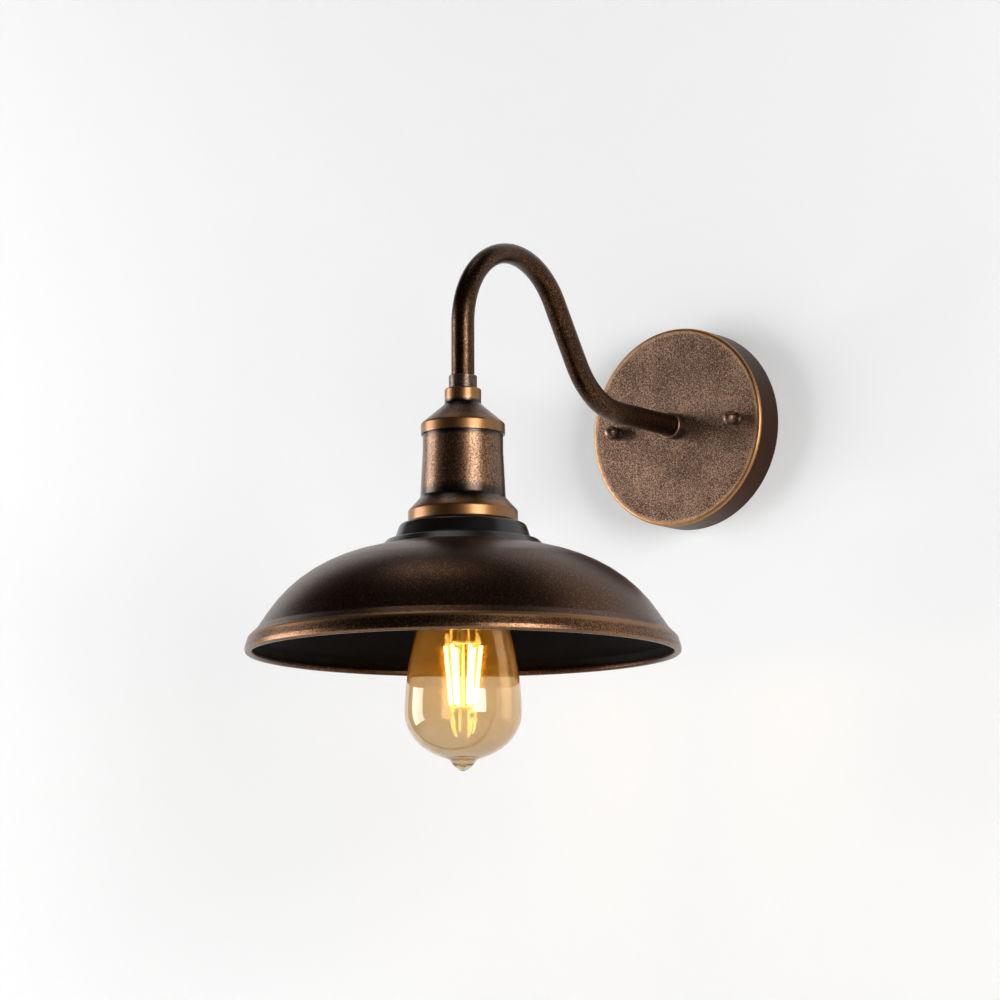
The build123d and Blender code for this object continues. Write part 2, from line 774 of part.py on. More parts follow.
# Skirt of the lampholder: flange on the shade's crown, thread through it
skirt_bore = skirt_radius - skirt_wall
skirt_spigot_wall = holder_inner_radius - holder_fit - skirt_bore
groove_levels = [skirt_bottom + skirt_groove_pitch * (i + 1) for i in range(skirt_groove_count)]
with BuildPart() as holder_skirt:
    with BuildSketch(lamp_section):
        with BuildLine():
            Polyline(
                (skirt_bore, skirt_shoulder),
                (skirt_bore, skirt_bottom + skirt_lip_thickness),
                (skirt_lip_radius, skirt_bottom + skirt_lip_thickness),
                (skirt_lip_radius, skirt_bottom),
                (skirt_radius, skirt_bottom),
                (skirt_radius, shade_top),
                (flange_radius, shade_top),
                (flange_radius, shade_top + flange_thickness),
                (skirt_radius, shade_top + flange_thickness),
                (skirt_radius, skirt_shoulder),
                close=True,
            )
        make_face()
        with Locations((skirt_bore, skirt_shoulder - skirt_spigot_root)):
            Rectangle(skirt_spigot_wall, skirt_spigot_height + skirt_spigot_root, align=Align.MIN)
        with Locations(*[(skirt_radius, level) for level in groove_levels]):
            Circle(skirt_groove_radius, mode=Mode.SUBTRACT)
    revolve(axis=lamp_axis)
holder_skirt.part.label = "holder_skirt"
export_step(holder_skirt.part, "parts/holder_skirt.step")

# Ring that clamps the shade's crown against the flange
with BuildPart() as shade_ring:
    with BuildSketch(Plane((0, -arm_reach, shade_top - shade_wall))):
        Circle(shade_ring_radius)
        Circle(skirt_radius + holder_fit, mode=Mode.SUBTRACT)
        with PolarLocations(shade_ring_radius, shade_ring_notch_count):
            Circle(shade_ring_notch_radius, mode=Mode.SUBTRACT)
    extrude(amount=-shade_ring_height)
shade_ring.part.label = "shade_ring"
export_step(shade_ring.part, "parts/shade_ring.step")

# Porcelain insert that carries the contacts
rivet_places = [(0, 0), (terminal_offset, shell_rivet_offset)]
insert_radius = skirt_bore - holder_fit
shell_outer_radius = shell_radius + shell_wall
insert_bore = shell_outer_radius + holder_fit
insert_bottom = skirt_bottom + skirt_lip_thickness
with BuildPart() as holder_insert:
    with BuildSketch(lamp_section):
        with BuildLine():
            Polyline(
                (0, insert_top_level),
                (insert_radius, insert_top_level),
                (insert_radius, insert_bottom),
                (insert_bore, insert_bottom),
                (insert_bore, insert_ceiling_level),
                (0, insert_ceiling_level),
                close=True,
            )
        make_face()
    revolve(axis=lamp_axis)
    with BuildSketch(Plane((0, -arm_reach, insert_top_level))):
        with Locations(*rivet_places):
            Circle(rivet_diameter / 2 + slip_clearance)
    extrude(amount=insert_ceiling_level - insert_top_level, mode=Mode.SUBTRACT)
holder_insert.part.label = "holder_insert"
export_step(holder_insert.part, "parts/holder_insert.step")

# Brass terminals on the insert: a pillar for each lead, on a foot that reaches its rivet
pillar_middle = insert_top_level + pillar_height / 2
with BuildPart() as terminal_pillars:
    with BuildSketch(Plane((0, -arm_reach, insert_top_level))):
        with Locations((-terminal_offset, 0), (terminal_offset, 0)):
            Rectangle(pillar_width, pillar_width)
    extrude(amount=pillar_height)
    with BuildSketch(Plane((0, -arm_reach, insert_top_level))):
        with Locations((rivet_diameter, 0)):
            Rectangle(terminal_offset + rivet_diameter, pillar_width, align=(Align.MAX, Align.CENTER))
        with Locations((terminal_offset, 0)):
            Rectangle(pillar_width, shell_rivet_offset + rivet_diameter, align=(Align.CENTER, Align.MIN))
    extrude(amount=pillar_foot_thickness)
    with BuildSketch(Plane((0, -arm_reach, insert_top_level))):
        with Locations(*rivet_places):
            Circle(rivet_diameter / 2 + slip_clearance)
    extrude(amount=pillar_foot_thickness, mode=Mode.SUBTRACT)
    for side in (-1, 1):
        screw_seat = (side * terminal_offset, -arm_reach, pillar_middle)
        with BuildSketch(Plane(screw_seat, x_dir=(0, 1, 0), z_dir=(side, 0, 0))):
            Circle(terminal_screw_diameter / 2 + slip_clearance)
        extrude(amount=pillar_width, mode=Mode.SUBTRACT)
terminal_pillars.part.label = "terminal_pillars"
export_step(terminal_pillars.part, "parts/terminal_pillars.step")

# Clamp screws in the pillars
with BuildPart() as terminal_screws:
    for side in (-1, 1):
        screw_tip = (side * (terminal_offset + slip_clearance), -arm_reach, pillar_middle)
        with BuildSketch(Plane(screw_tip, x_dir=(0, 1, 0), z_dir=(side, 0, 0))):
            Circle(terminal_screw_diameter / 2)
        extrude(amount=terminal_screw_length)
terminal_screws.part.label = "terminal_screws"
export_step(terminal_screws.part, "parts/terminal_screws.step")

# Rivets from the terminals to the two contacts
with BuildPart() as contact_rivets:
    with BuildSketch(Plane((0, -arm_reach, insert_top_level + pillar_foot_thickness))):
        with Locations(*rivet_places):
            Circle(rivet_diameter / 2)
    extrude(amount=insert_ceiling_level - insert_top_level - pillar_foot_thickness)
contact_rivets.part.label = "contact_rivets"
export_step(contact_rivets.part, "parts/contact_rivets.step")

# Centre contact: a disc on the insert's ceiling with a sprung leaf under it
leaf_half = contact_base_radius - contact_thickness
with BuildPart() as centre_contact:
    with BuildSketch(Plane((0, -arm_reach, insert_ceiling_level))):
        Circle(contact_base_radius)
    extrude(amount=-contact_thickness)
    with BuildSketch(lamp_section.offset(-contact_width / 2)):
        with BuildLine():
            Polyline(
                (leaf_half, insert_ceiling_level - contact_thickness),
                (leaf_half, contact_level),
                (-leaf_half / 2, contact_level),
                (-leaf_half / 2, contact_level + contact_thickness),
                (leaf_half - contact_thickness, contact_level + contact_thickness),
                (leaf_half - contact_thickness, insert_ceiling_level - contact_thickness),
                close=True,
            )
        make_face()
    extrude(amount=contact_width)
centre_contact.part.label = "centre_contact"
export_step(centre_contact.part, "parts/centre_contact.step")

# Threaded shell of the holder, its thread half a pitch from the bulb's
thread_start = cap_bottom_level + cap_collar_height + 2 * cap_thread_bead
thread_rise = thread_turns * thread_pitch
with BuildPart() as screw_shell:
    with BuildSketch(lamp_section):
        with Locations((shell_radius, insert_bottom)):
            Rectangle(shell_wall, insert_ceiling_level - insert_bottom, align=Align.MIN)
        with Locations((shell_flange_hole, insert_ceiling_level)):
            Rectangle(shell_outer_radius - shell_flange_hole, shell_wall, align=(Align.MIN, Align.MAX))
    revolve(axis=lamp_axis)
    with BuildLine() as shell_thread:
        Helix(
            thread_pitch,
            thread_rise - thread_pitch,
            shell_radius - shell_thread_height + shell_thread_bead,
            center=(0, -arm_reach, thread_start + thread_pitch / 2),
        )
    with BuildSketch(Plane(shell_thread.line @ 0, z_dir=shell_thread.line % 0)):
        Circle(shell_thread_bead)
    sweep(path=shell_thread.line, is_frenet=True)
screw_shell.part.label = "screw_shell"
export_step(screw_shell.part, "parts/screw_shell.step")

# End contact of the bulb
with BuildPart() as bulb_eyelet:
    with BuildSketch(Plane((0, -arm_reach, bulb_top))):
        Circle(eyelet_radius)
    extrude(amount=-eyelet_height)
    fillet(bulb_eyelet.edges().sort_by(Axis.Z)[-1], eyelet_edge_radius)
bulb_eyelet.part.label = "bulb_eyelet"
export_step(bulb_eyelet.part, "parts/bulb_eyelet.step")

# Glass insulator between the end contact and the cap
insulator_radius = cap_root_radius - cap_lip_width - bulb_fit
with BuildPart() as bulb_insulator:
    with BuildSketch(lamp_section):
        with BuildLine():
            Polyline(
                (0, insulator_level),
                (insulator_top_radius, insulator_level),
                (insulator_radius, cap_level),
                (insulator_radius, insulator_level - insulator_height),
                (0, insulator_level - insulator_height),
                close=True,
            )
        make_face()
    revolve(axis=lamp_axis)
bulb_insulator.part.label = "bulb_insulator"
export_step(bulb_insulator.part, "parts/bulb_insulator.step")

# Screw cap of the bulb
with BuildPart() as bulb_cap:
    with BuildSketch(lamp_section):
        with BuildLine():
            Polyline(
                (insulator_radius + bulb_fit, cap_level),
                (cap_root_radius, cap_level),
                (cap_root_radius, cap_bottom_level + cap_collar_height),
                (cap_collar_radius, cap_bottom_level + cap_collar_height),
                (cap_collar_radius, cap_bottom_level),
                (cap_root_radius - cap_wall, cap_bottom_level),
                (cap_root_radius - cap_wall, cap_level - cap_wall),
                (insulator_radius + bulb_fit, cap_level - cap_wall),
                close=True,
            )
        make_face()
    revolve(axis=lamp_axis)
    with BuildLine() as cap_thread:
        Helix(
            thread_pitch,
            thread_rise,
            cap_root_radius + cap_thread_height - cap_thread_bead,
            center=(0, -arm_reach, thread_start),
        )
    with BuildSketch(Plane(cap_thread.line @ 0, z_dir=cap_thread.line % 0)):
        Circle(cap_thread_bead)
    sweep(path=cap_thread.line, is_frenet=True)
bulb_cap.part.label = "bulb_cap"
export_step(bulb_cap.part, "parts/bulb_cap.step")

# Driver board and its capacitor inside the cap
board_half_width = cap_root_radius - cap_wall - board_edge_room
board_top = insulator_level - insulator_height - bulb_fit
with BuildPart() as bulb_driver:
    with BuildSketch(Plane((0, -arm_reach, board_top))):
        Rectangle(2 * board_half_width - 2 * board_thickness, board_thickness)
    extrude(amount=-board_height)
    with BuildSketch(Plane((0, -arm_reach, board_top - board_thickness))):
        with Locations((0, board_thickness / 2 + capacitor_radius)):
            Circle(capacitor_radius)
    extrude(amount=-capacitor_height)
bulb_driver.part.label = "bulb_driver"
export_step(bulb_driver.part, "parts/bulb_driver.step")

# Glass envelope: conical shoulders, round bowl and a solid drawn tip
glass_top = cap_bottom_level + glass_spigot_height
glass_spigot_radius = cap_root_radius - cap_wall - bulb_fit
widest_level = bulb_top - bulb_widest_drop
upper_level = bulb_top - bulb_upper_drop
lower_level = bulb_top - bulb_lower_drop
bowl_angles = [math.pi / 2 * i / bowl_steps for i in range(bowl_steps + 1)]
inside_bowl = [
    (
        (bulb_radius - glass_wall) * math.sin(angle),
        widest_level - (bulb_bowl_height - glass_wall) * math.cos(angle),
    )
    for angle in bowl_angles
]
bowl_sweep = math.degrees(math.acos(bulb_tip_root_radius / bulb_radius))
with BuildPart() as bulb_glass:
    with BuildSketch(lamp_section):
        with BuildLine():
            neck = Polyline(
                (glass_spigot_radius, glass_top),
                (glass_spigot_radius, cap_bottom_level - bulb_fit),
                (bulb_neck_radius, cap_bottom_level - bulb_fit),
            )
            Spline(
                neck @ 1,
                (bulb_upper_radius, upper_level),
                (bulb_lower_radius, lower_level),
                (bulb_radius, widest_level),
                tangents=[(0, -1), (0, -1)],
            )
            bowl = EllipticalCenterArc(
                (0, widest_level), bulb_radius, bulb_bowl_height, arc_size=-bowl_sweep
            )
            tip = Spline(
                bowl @ 1,
                (2 * bulb_tip_radius, bulb_tip + bulb_tip_radius),
                (0, bulb_tip),
                tangents=[bowl % 1, (-1, 0)],
            )
            Line(tip @ 1, inside_bowl[0])
            Spline(*inside_bowl, tangents=[(1, 0), (0, 1)])
            throat = Polyline(
                (glass_spigot_radius, glass_top),
                (glass_spigot_radius - glass_wall, glass_top),
                (glass_spigot_radius - glass_wall, cap_bottom_level - glass_wall),
            )
            Spline(
                throat @ 1,
                (bulb_upper_radius - glass_wall, upper_level),
                (bulb_lower_radius - glass_wall, lower_level),
                (bulb_radius - glass_wall, widest_level),
                tangents=[(0, -1), (0, -1)],
            )
        make_face()
    revolve(axis=lamp_axis)
bulb_glass.part.label = "bulb_glass"
export_step(bulb_glass.part, "parts/bulb_glass.step")

# Stem: a flare sealed in the neck, drawn out to a tube
stem_flare_radius = glass_spigot_radius - glass_wall - bulb_fit
stem_top = glass_top - stem_flare_thickness
stem_bottom = stem_top - stem_length
with BuildPart() as bulb_stem:
    with BuildSketch(lamp_section):
        with BuildLine():
            outer_flare = Spline(
                (stem_flare_radius, stem_top - stem_flare_thickness),
                (stem_radius, stem_top - stem_flare_height),
                tangents=[(-1, 0), (0, -1)],
            )
            Polyline(
                outer_flare @ 1,
                (stem_radius, stem_bottom),
                (0, stem_bottom),
                (0, stem_top - stem_flare_height - stem_flare_thickness),
                (stem_bore_radius, stem_top - stem_flare_height),
            )
            inner_flare = Spline(
                (stem_bore_radius, stem_top - stem_flare_height),
                (stem_flare_radius, stem_top),
                tangents=[(0, 1), (1, 0)],
            )
            Line(inner_flare @ 1, outer_flare @ 0)
        make_face()
    revolve(axis=lamp_axis)
bulb_stem.part.label = "bulb_stem"
export_step(bulb_stem.part, "parts/bulb_stem.step")

# Filaments: slim rods that lean in towards the bottom
filament_angles = [360 / filament_count * (i + 0.5) for i in range(filament_count)]
filament_lean = filament_top_radius - filament_bottom_radius
filament_drop = math.sqrt(filament_length**2 - filament_lean**2)
filament_top = stem_bottom - filament_start
filament_bottom = filament_top - filament_drop
with BuildPart() as filaments:
    for angle in filament_angles:
        out_x = math.cos(math.radians(angle))
        out_y = math.sin(math.radians(angle))
        top_end = (filament_top_radius * out_x, filament_top_radius * out_y - arm_reach, filament_top)
        inward = (-filament_lean * out_x, -filament_lean * out_y, -filament_drop)
        with BuildSketch(Plane(top_end, z_dir=inward)):
            Circle(filament_radius)
        extrude(amount=filament_length)
filaments.part.label = "filaments"
export_step(filaments.part, "parts/filaments.step")

# Support: a rod below the stem with a spoke to each end of each filament
upper_spoke = filament_top + filament_radius + support_wire_radius + filament_end_gap
lower_spoke = filament_bottom - filament_radius - support_wire_radius - filament_end_gap
with BuildPart() as filament_frame:
    with BuildSketch(Plane((0, -arm_reach, stem_bottom))):
        Circle(support_rod_radius)
    extrude(amount=lower_spoke - support_wire_radius - stem_bottom)
    for angle in filament_angles:
        direction = (math.cos(math.radians(angle)), math.sin(math.radians(angle)), 0)
        for level, reach in ((upper_spoke, filament_top_radius), (lower_spoke, filament_bottom_radius)):
            with BuildSketch(Plane((0, -arm_reach, level), z_dir=direction)):
                Circle(support_wire_radius)
            extrude(amount=reach)
filament_frame.part.label = "filament_frame"
export_step(filament_frame.part, "parts/filament_frame.step")
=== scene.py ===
import logging
import math
from dataclasses import dataclass
from enum import Enum
from typing import Any, Optional, Sequence

import bmesh
import bpy
from mathutils import Matrix, Vector


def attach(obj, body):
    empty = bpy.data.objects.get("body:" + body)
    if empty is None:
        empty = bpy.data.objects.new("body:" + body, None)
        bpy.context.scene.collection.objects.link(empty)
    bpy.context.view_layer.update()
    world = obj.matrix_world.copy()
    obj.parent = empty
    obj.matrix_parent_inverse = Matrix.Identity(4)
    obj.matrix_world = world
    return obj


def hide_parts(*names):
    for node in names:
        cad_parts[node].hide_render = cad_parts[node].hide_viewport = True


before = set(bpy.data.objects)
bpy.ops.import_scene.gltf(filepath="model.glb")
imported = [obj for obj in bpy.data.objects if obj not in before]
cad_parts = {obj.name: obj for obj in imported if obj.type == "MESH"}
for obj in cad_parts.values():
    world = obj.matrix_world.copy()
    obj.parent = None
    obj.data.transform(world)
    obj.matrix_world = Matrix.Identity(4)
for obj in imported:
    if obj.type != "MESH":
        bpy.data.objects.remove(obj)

LOG = logging.getLogger("wall_sconce")
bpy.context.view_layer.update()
MM = 0.001
FULL_TURN = 2.0 * math.pi
# Lengths in mm: what counts as nothing, and how near a closed outline's end comes to its start
TINY = 1e-6
SEAM = 0.01
# Angles, in radians: the least that counts as a bend, and the least that keeps an edge sharp
STRAIGHT = 1e-4
SHARP_ANGLE = math.radians(35.0)
# Places that several sub-assemblies share, in mm
ARM_REACH = 232.0
STUD_OFFSET = 42.5
# Energy of a square lamp for each square metre and unit of radiance
WATTS_PER_RADIANCE = 4.0
# Nearly all values of a noise lie between these two
NOISE_LOW, NOISE_HIGH = 0.3, 0.7
SOFT_NOISE = {"Detail": 4.0, "Roughness": 0.6}
FINE_NOISE = {"Detail": 3.0, "Roughness": 0.7}

Point = tuple[float, float]
Ring = list[Vector]
Face = tuple[int, ...]
Colour = tuple[float, float, float, float]
Tree = bpy.types.NodeTree
Socket = bpy.types.NodeSocket
Piece = bpy.types.Object


class Body(Enum):
    """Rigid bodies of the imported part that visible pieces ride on."""

    FIXED = "root"
    BULB = "bulb"
    NUT_LEFT = "nut_left"
    NUT_RIGHT = "nut_right"


class Axle(Enum):
    """Lines that pieces are turned about, by their start in mm. LAMP is upright, and the others leave the wall."""

    WALL = (0.0, 0.0, 0.0)
    LAMP = (0.0, -ARM_REACH, 0.0)
    STUD_LEFT = (-STUD_OFFSET, 0.0, 0.0)
    STUD_RIGHT = (STUD_OFFSET, 0.0, 0.0)


def linear(hex_colour: str) -> Colour:
    """Turns an sRGB hex colour into linear values.

    Args:
        hex_colour: six hex digits after a hash.

    Returns:
        Red, green, blue and a full alpha.
    """
    channels = [int(hex_colour[i:i + 2], 16) / 255.0 for i in (1, 3, 5)]
    red, green, blue = (c / 12.92 if c <= 0.04045 else ((c + 0.055) / 1.055) ** 2.4 for c in channels)
    return red, green, blue, 1.0


def per_mm(size: float) -> float:
    """Scale of a noise whose features are this many millimetres across, in object coordinates."""
    return 1.0 / (size * MM)


def add_node(
    tree: Tree,
    kind: str,
    values: Optional[dict[Any, Any]] = None,
    links: Optional[dict[Any, Socket]] = None,
    stops: Sequence[tuple[float, Colour]] = (),
    **settings: Any,
) -> bpy.types.Node:
    """Adds one node with its settings, constants and links.

    Args:
        tree: tree that gets the node.
        kind: Blender's name of the node type, without its Shader Node prefix.
        values: constants by input name or number.
        links: output sockets by input name or number.
        stops: position and colour of the lower and the upper stop, where the node has a colour ramp.
        settings: attributes of the node.

    Returns:
        The new node.
    """
    node = tree.nodes.new("ShaderNode" + kind)
    for name, value in settings.items():
        setattr(node, name, value)
    for name, value in (values or {}).items():
        node.inputs[name].default_value = value
    for name, socket in (links or {}).items():
        tree.links.new(socket, node.inputs[name])
    for i, (position, colour) in enumerate(stops):
        node.color_ramp.elements[i].position = position
        node.color_ramp.elements[i].color = colour
    return node


# Finishes


@dataclass(frozen=True)
class Finish:
    """A finish, named for the real one."""

    name: str

    def surface(self, tree: Tree, place: Socket) -> Socket:
        """Surface shader of the finish, which each kind of finish gives its own."""
        raise NotImplementedError(self.name)

    def material(self) -> bpy.types.Material:
        """Builds the finish, or finds it where another piece has it already.

        Returns:
            The material.
        """
        made = bpy.data.materials.get(self.name)
        if made is None:
            made = bpy.data.materials.new(self.name)
            made.use_nodes = True
            tree = made.node_tree
            tree.nodes.clear()
            place = add_node(tree, "TexCoord").outputs["Object"]
            add_node(tree, "OutputMaterial", links={"Surface": self.surface(tree, place)})
        return made


@dataclass(frozen=True)
class RubbedBronze(Finish):
    """Antique rubbed bronze: a brown patina with bronze flakes, black lacquer and painted shade in dark places,
    edges rubbed bright.

    The patina is dark metal and satin, the flakes catch the lamps as a fine bronze grain, the black
    lacquer shows them as soft grey, and edges are rubbed to a smooth golden bronze under a clear wax.
    The real flakes are a few tenths of a millimetre, too fine to show, so they are drawn coarser.
    The mesh holds how far each place is rubbed in a point attribute: 1 is bright, and below zero the
    place is dark. The dark colour is black lacquer on the shade's crown and step, and painted shade in
    creases, under and between parts and on the canopy's side. All sizes are in mm.
    """

    patina: str = "#3a2719"
    flake: str = "#b08468"
    # Dark colour: black lacquer on the shade's crown and step, and painted shade in creases, under parts and on the
    # canopy's side.
    lacquer_and_shade: str = "#140e0b"
    rubbed: str = "#a8743f"
    patina_metal: float = 0.7
    lacquer_and_shade_metal: float = 0.0
    flake_share: float = 0.5
    flake_spread: float = 0.28
    flake_gain: float = 0.3
    grain: float = 0.9
    grain_blur: float = 0.11
    grain_height: float = 0.05
    cloud: float = 26.0
    cloud_depth: float = 0.03
    hand: float = 3.5
    hand_depth: float = 0.22
    bright_span: Point = (0.2, 0.85)
    # Amounts over which the dark colour of lacquer and painted shade comes in.
    lacquer_and_shade_span: Point = (-0.15, -0.8)
    roughness: float = 0.36
    rubbed_roughness: float = 0.4
    lacquer_and_shade_roughness: float = 0.26
    bump: float = 0.8
    rubbed_bump: float = 0.15
    coat: float = 0.4
    coat_roughness: float = 0.3

    def rubbed_and_dark_places(self, tree: Tree, place: Socket, rub_and_shade: Socket) -> list[Socket]:
        """Breaks up the edges of the rubbed and the dark places, as rubbing by hand does.

        Args:
            tree: tree of the finish.
            place: place on the object.
            rub_and_shade: how far the mesh is rubbed, and below zero how dark it is.

        Returns:
            How bright and how dark each place is.
        """
        hand = add_node(
            tree, "TexNoise", {"Scale": per_mm(self.hand), **SOFT_NOISE}, {"Vector": place}
        ).outputs["Fac"]
        uneven = add_node(
            tree, "MapRange", {1: NOISE_LOW, 2: NOISE_HIGH, 3: -self.hand_depth, 4: self.hand_depth}, {0: hand}
        ).outputs[0]
        rub_here = add_node(tree, "Math", links={0: rub_and_shade, 1: uneven}, operation="ADD").outputs[0]
        return [
            add_node(
                tree, "MapRange", {1: start, 2: full}, {0: rub_here}, interpolation_type="SMOOTHSTEP"
            ).outputs[0]
            for start, full in (self.bright_span, self.lacquer_and_shade_span)
        ]

    def flaked_places(self, tree: Tree, place: Socket, rub_and_shade: Socket) -> tuple[Socket, Socket]:
        """Scatters the flakes, a little denser in clouds and where the mesh is rubbed.

        Args:
            tree: tree of the finish.
            place: place on the object.
            rub_and_shade: how far the mesh is rubbed, and below zero how dark it is.

        Returns:
            The grain's height, and how far each place is a flake.
        """
        grain, clouds = (
            add_node(tree, "TexNoise", {"Scale": per_mm(size), **noise}, {"Vector": place}).outputs["Fac"]
            for size, noise in ((self.grain, FINE_NOISE), (self.cloud, SOFT_NOISE))
        )
        cloud_lift = add_node(
            tree, "MapRange", {1: NOISE_LOW, 2: NOISE_HIGH, 3: -self.cloud_depth, 4: self.cloud_depth}, {0: clouds}
        ).outputs[0]
        lifted = add_node(tree, "Math", links={0: grain, 1: cloud_lift}, operation="ADD").outputs[0]
        lifted = add_node(
            tree, "Math", {1: self.flake_gain}, {0: rub_and_shade, 2: lifted}, operation="MULTIPLY_ADD"
        ).outputs[0]
        middle = 0.5 + self.flake_spread * (0.5 - self.flake_share)
        flakes = add_node(
            tree, "MapRange", {1: middle - self.grain_blur, 2: middle + self.grain_blur}, {0: lifted}
        ).outputs[0]
        return grain, flakes

    def surface(self, tree: Tree, place: Socket) -> Socket:
        """Mixes patina, flakes, rubbed metal and the dark colour of lacquer and painted shade.

        Args:
            tree: tree of the finish.
            place: place on the object.

        Returns:
            The surface shader.
        """
        rub_and_shade = add_node(tree, "Attribute", attribute_name="rub_and_shade").outputs["Fac"]
        bright, dark = self.rubbed_and_dark_places(tree, place, rub_and_shade)
        grain, flakes = self.flaked_places(tree, place, rub_and_shade)
        colour = add_node(
            tree, "Mix", {6: linear(self.patina), 7: linear(self.flake)}, {0: flakes}, data_type="RGBA"
        ).outputs[2]
        # Bright places take rubbed bronze, dark ones the dark colour of lacquer and painted shade.
        for tone, share in ((self.rubbed, bright), (self.lacquer_and_shade, dark)):
            colour = add_node(tree, "Mix", {7: linear(tone)}, {0: share, 6: colour}, data_type="RGBA").outputs[2]
        rough = add_node(tree, "Mix", {2: self.roughness, 3: self.rubbed_roughness}, {0: bright}).outputs[0]
        rough = add_node(tree, "Mix", {3: self.lacquer_and_shade_roughness}, {0: dark, 2: rough}).outputs[0]
        strength = add_node(tree, "MapRange", {3: self.bump, 4: self.rubbed_bump}, {0: bright}).outputs[0]
        bump = add_node(
            tree, "Bump", {"Distance": self.grain_height * MM}, {"Strength": strength, "Height": grain}
        ).outputs["Normal"]
        values = {"Coat Weight": self.coat, "Coat Roughness": self.coat_roughness}
        links = {"Base Color": colour, "Roughness": rough, "Normal": bump}
        if min(self.patina_metal, self.lacquer_and_shade_metal) < 1.0:
            shine = add_node(tree, "Math", links={0: flakes, 1: bright}, operation="MAXIMUM").outputs[0]
            metal = add_node(tree, "MapRange", {3: self.patina_metal}, {0: shine}).outputs[0]
            links["Metallic"] = add_node(tree, "Mix", {3: self.lacquer_and_shade_metal}, {0: dark, 2: metal}).outputs[0]
        else:
            values["Metallic"] = 1.0
        return add_node(tree, "BsdfPrincipled", values, links).outputs[0]


@dataclass(frozen=True)
class PlatedMetal(Finish):
    """Bare or plated small metalwork: turned, stamped or drawn, with fine tool marks and a cloudy plating.

    The eye sees a soft metal gleam, broken by faint lines and by patches a little duller than the rest.
    """

    base: str
    dull: str
    roughness: float = 0.32
    duller: float = 0.12
    brighter: float = 0.06
    mark: float = 0.6
    mark_height: float = 0.03
    bump: float = 0.25
    cloud: float = 6.0
    cloud_span: Point = (0.35, 0.62)

    def surface(self, tree: Tree, place: Socket) -> Socket:
        """Clouds the plating and scores it with tool marks.

        Args:
            tree: tree of the finish.
            place: place on the object.

        Returns:
            The surface shader.
        """
        clouds, marks = (
            add_node(tree, "TexNoise", {"Scale": per_mm(size), "Detail": detail}, {"Vector": place}).outputs["Fac"]
            for size, detail in ((self.cloud, 5.0), (self.mark, 2.0))
        )
        stops = list(zip(self.cloud_span, (linear(self.dull), linear(self.base))))
        colour = add_node(tree, "ValToRGB", links={0: clouds}, stops=stops).outputs["Color"]
        limits = {1: NOISE_LOW, 2: NOISE_HIGH, 3: self.roughness + self.duller, 4: self.roughness - self.brighter}
        rough = add_node(tree, "MapRange", limits, {0: clouds}).outputs[0]
        bump = add_node(
            tree, "Bump", {"Strength": self.bump, "Distance": self.mark_height * MM}, {"Height": marks}
        ).outputs[0]
        links = {"Base Color": colour, "Roughness": rough, "Normal": bump}
        return add_node(tree, "BsdfPrincipled", {"Metallic": 1.0}, links).outputs[0]


@dataclass(frozen=True)
class MouldedPlastic(Finish):
    """Moulded or extruded plastic, or sprayed matt lacquer: faint flow clouds and a fine matt texture."""

    base: str
    shade: str
    roughness: float = 0.45
    unevenness: float = 0.05
    gloss: float = 0.5
    texture: float = 0.5
    texture_height: float = 0.04
    bump: float = 0.3
    cloud: float = 9.0
    cloud_span: Point = (0.32, 0.66)

    def surface(self, tree: Tree, place: Socket) -> Socket:
        """Clouds the plastic and gives it the mould's texture.

        Args:
            tree: tree of the finish.
            place: place on the object.

        Returns:
            The surface shader.
        """
        clouds, texture = (
            add_node(tree, "TexNoise", {"Scale": per_mm(size), "Detail": detail}, {"Vector": place}).outputs["Fac"]
            for size, detail in ((self.cloud, 3.0), (self.texture, 2.0))
        )
        stops = list(zip(self.cloud_span, (linear(self.shade), linear(self.base))))
        colour = add_node(tree, "ValToRGB", links={0: clouds}, stops=stops).outputs["Color"]
        low, high = self.roughness - self.unevenness, self.roughness + self.unevenness
        rough = add_node(
            tree, "MapRange", {1: NOISE_LOW, 2: NOISE_HIGH, 3: low, 4: high}, {0: texture}
        ).outputs[0]
        bump = add_node(
            tree, "Bump", {"Strength": self.bump, "Distance": self.texture_height * MM}, {"Height": texture}
        ).outputs[0]
        links = {"Base Color": colour, "Roughness": rough, "Normal": bump}
        return add_node(tree, "BsdfPrincipled", {"Specular IOR Level": self.gloss}, links).outputs[0]


@dataclass(frozen=True)
class GlazedPorcelain(Finish):
    """Pressed porcelain under a clear glaze: off-white, with small dark specks and a wet gloss."""

    base: str = "#ece7da"
    fleck: str = "#9c8f7b"
    fleck_size: float = 0.9
    fleck_span: Point = (0.68, 0.76)
    wave: float = 5.0
    wave_height: float = 0.1
    bump: float = 0.2
    roughness: float = 0.3
    glaze: float = 1.0
    glaze_roughness: float = 0.06

    def surface(self, tree: Tree, place: Socket) -> Socket:
        """Specks the body and waves the glaze.

        Args:
            tree: tree of the finish.
            place: place on the object.

        Returns:
            The surface shader.
        """
        flecks, waves = (
            add_node(tree, "TexNoise", {"Scale": per_mm(size)}, {"Vector": place}).outputs["Fac"]
            for size in (self.fleck_size, self.wave)
        )
        stops = list(zip(self.fleck_span, (linear(self.base), linear(self.fleck))))
        colour = add_node(tree, "ValToRGB", links={0: flecks}, stops=stops).outputs["Color"]
        bump = add_node(
            tree, "Bump", {"Strength": self.bump, "Distance": self.wave_height * MM}, {"Height": waves}
        ).outputs[0]
        glaze = {
            "Roughness": self.roughness, "Coat Weight": self.glaze, "Coat Roughness": self.glaze_roughness
        }
        return add_node(tree, "BsdfPrincipled", glaze, {"Base Color": colour, "Normal": bump}).outputs[0]


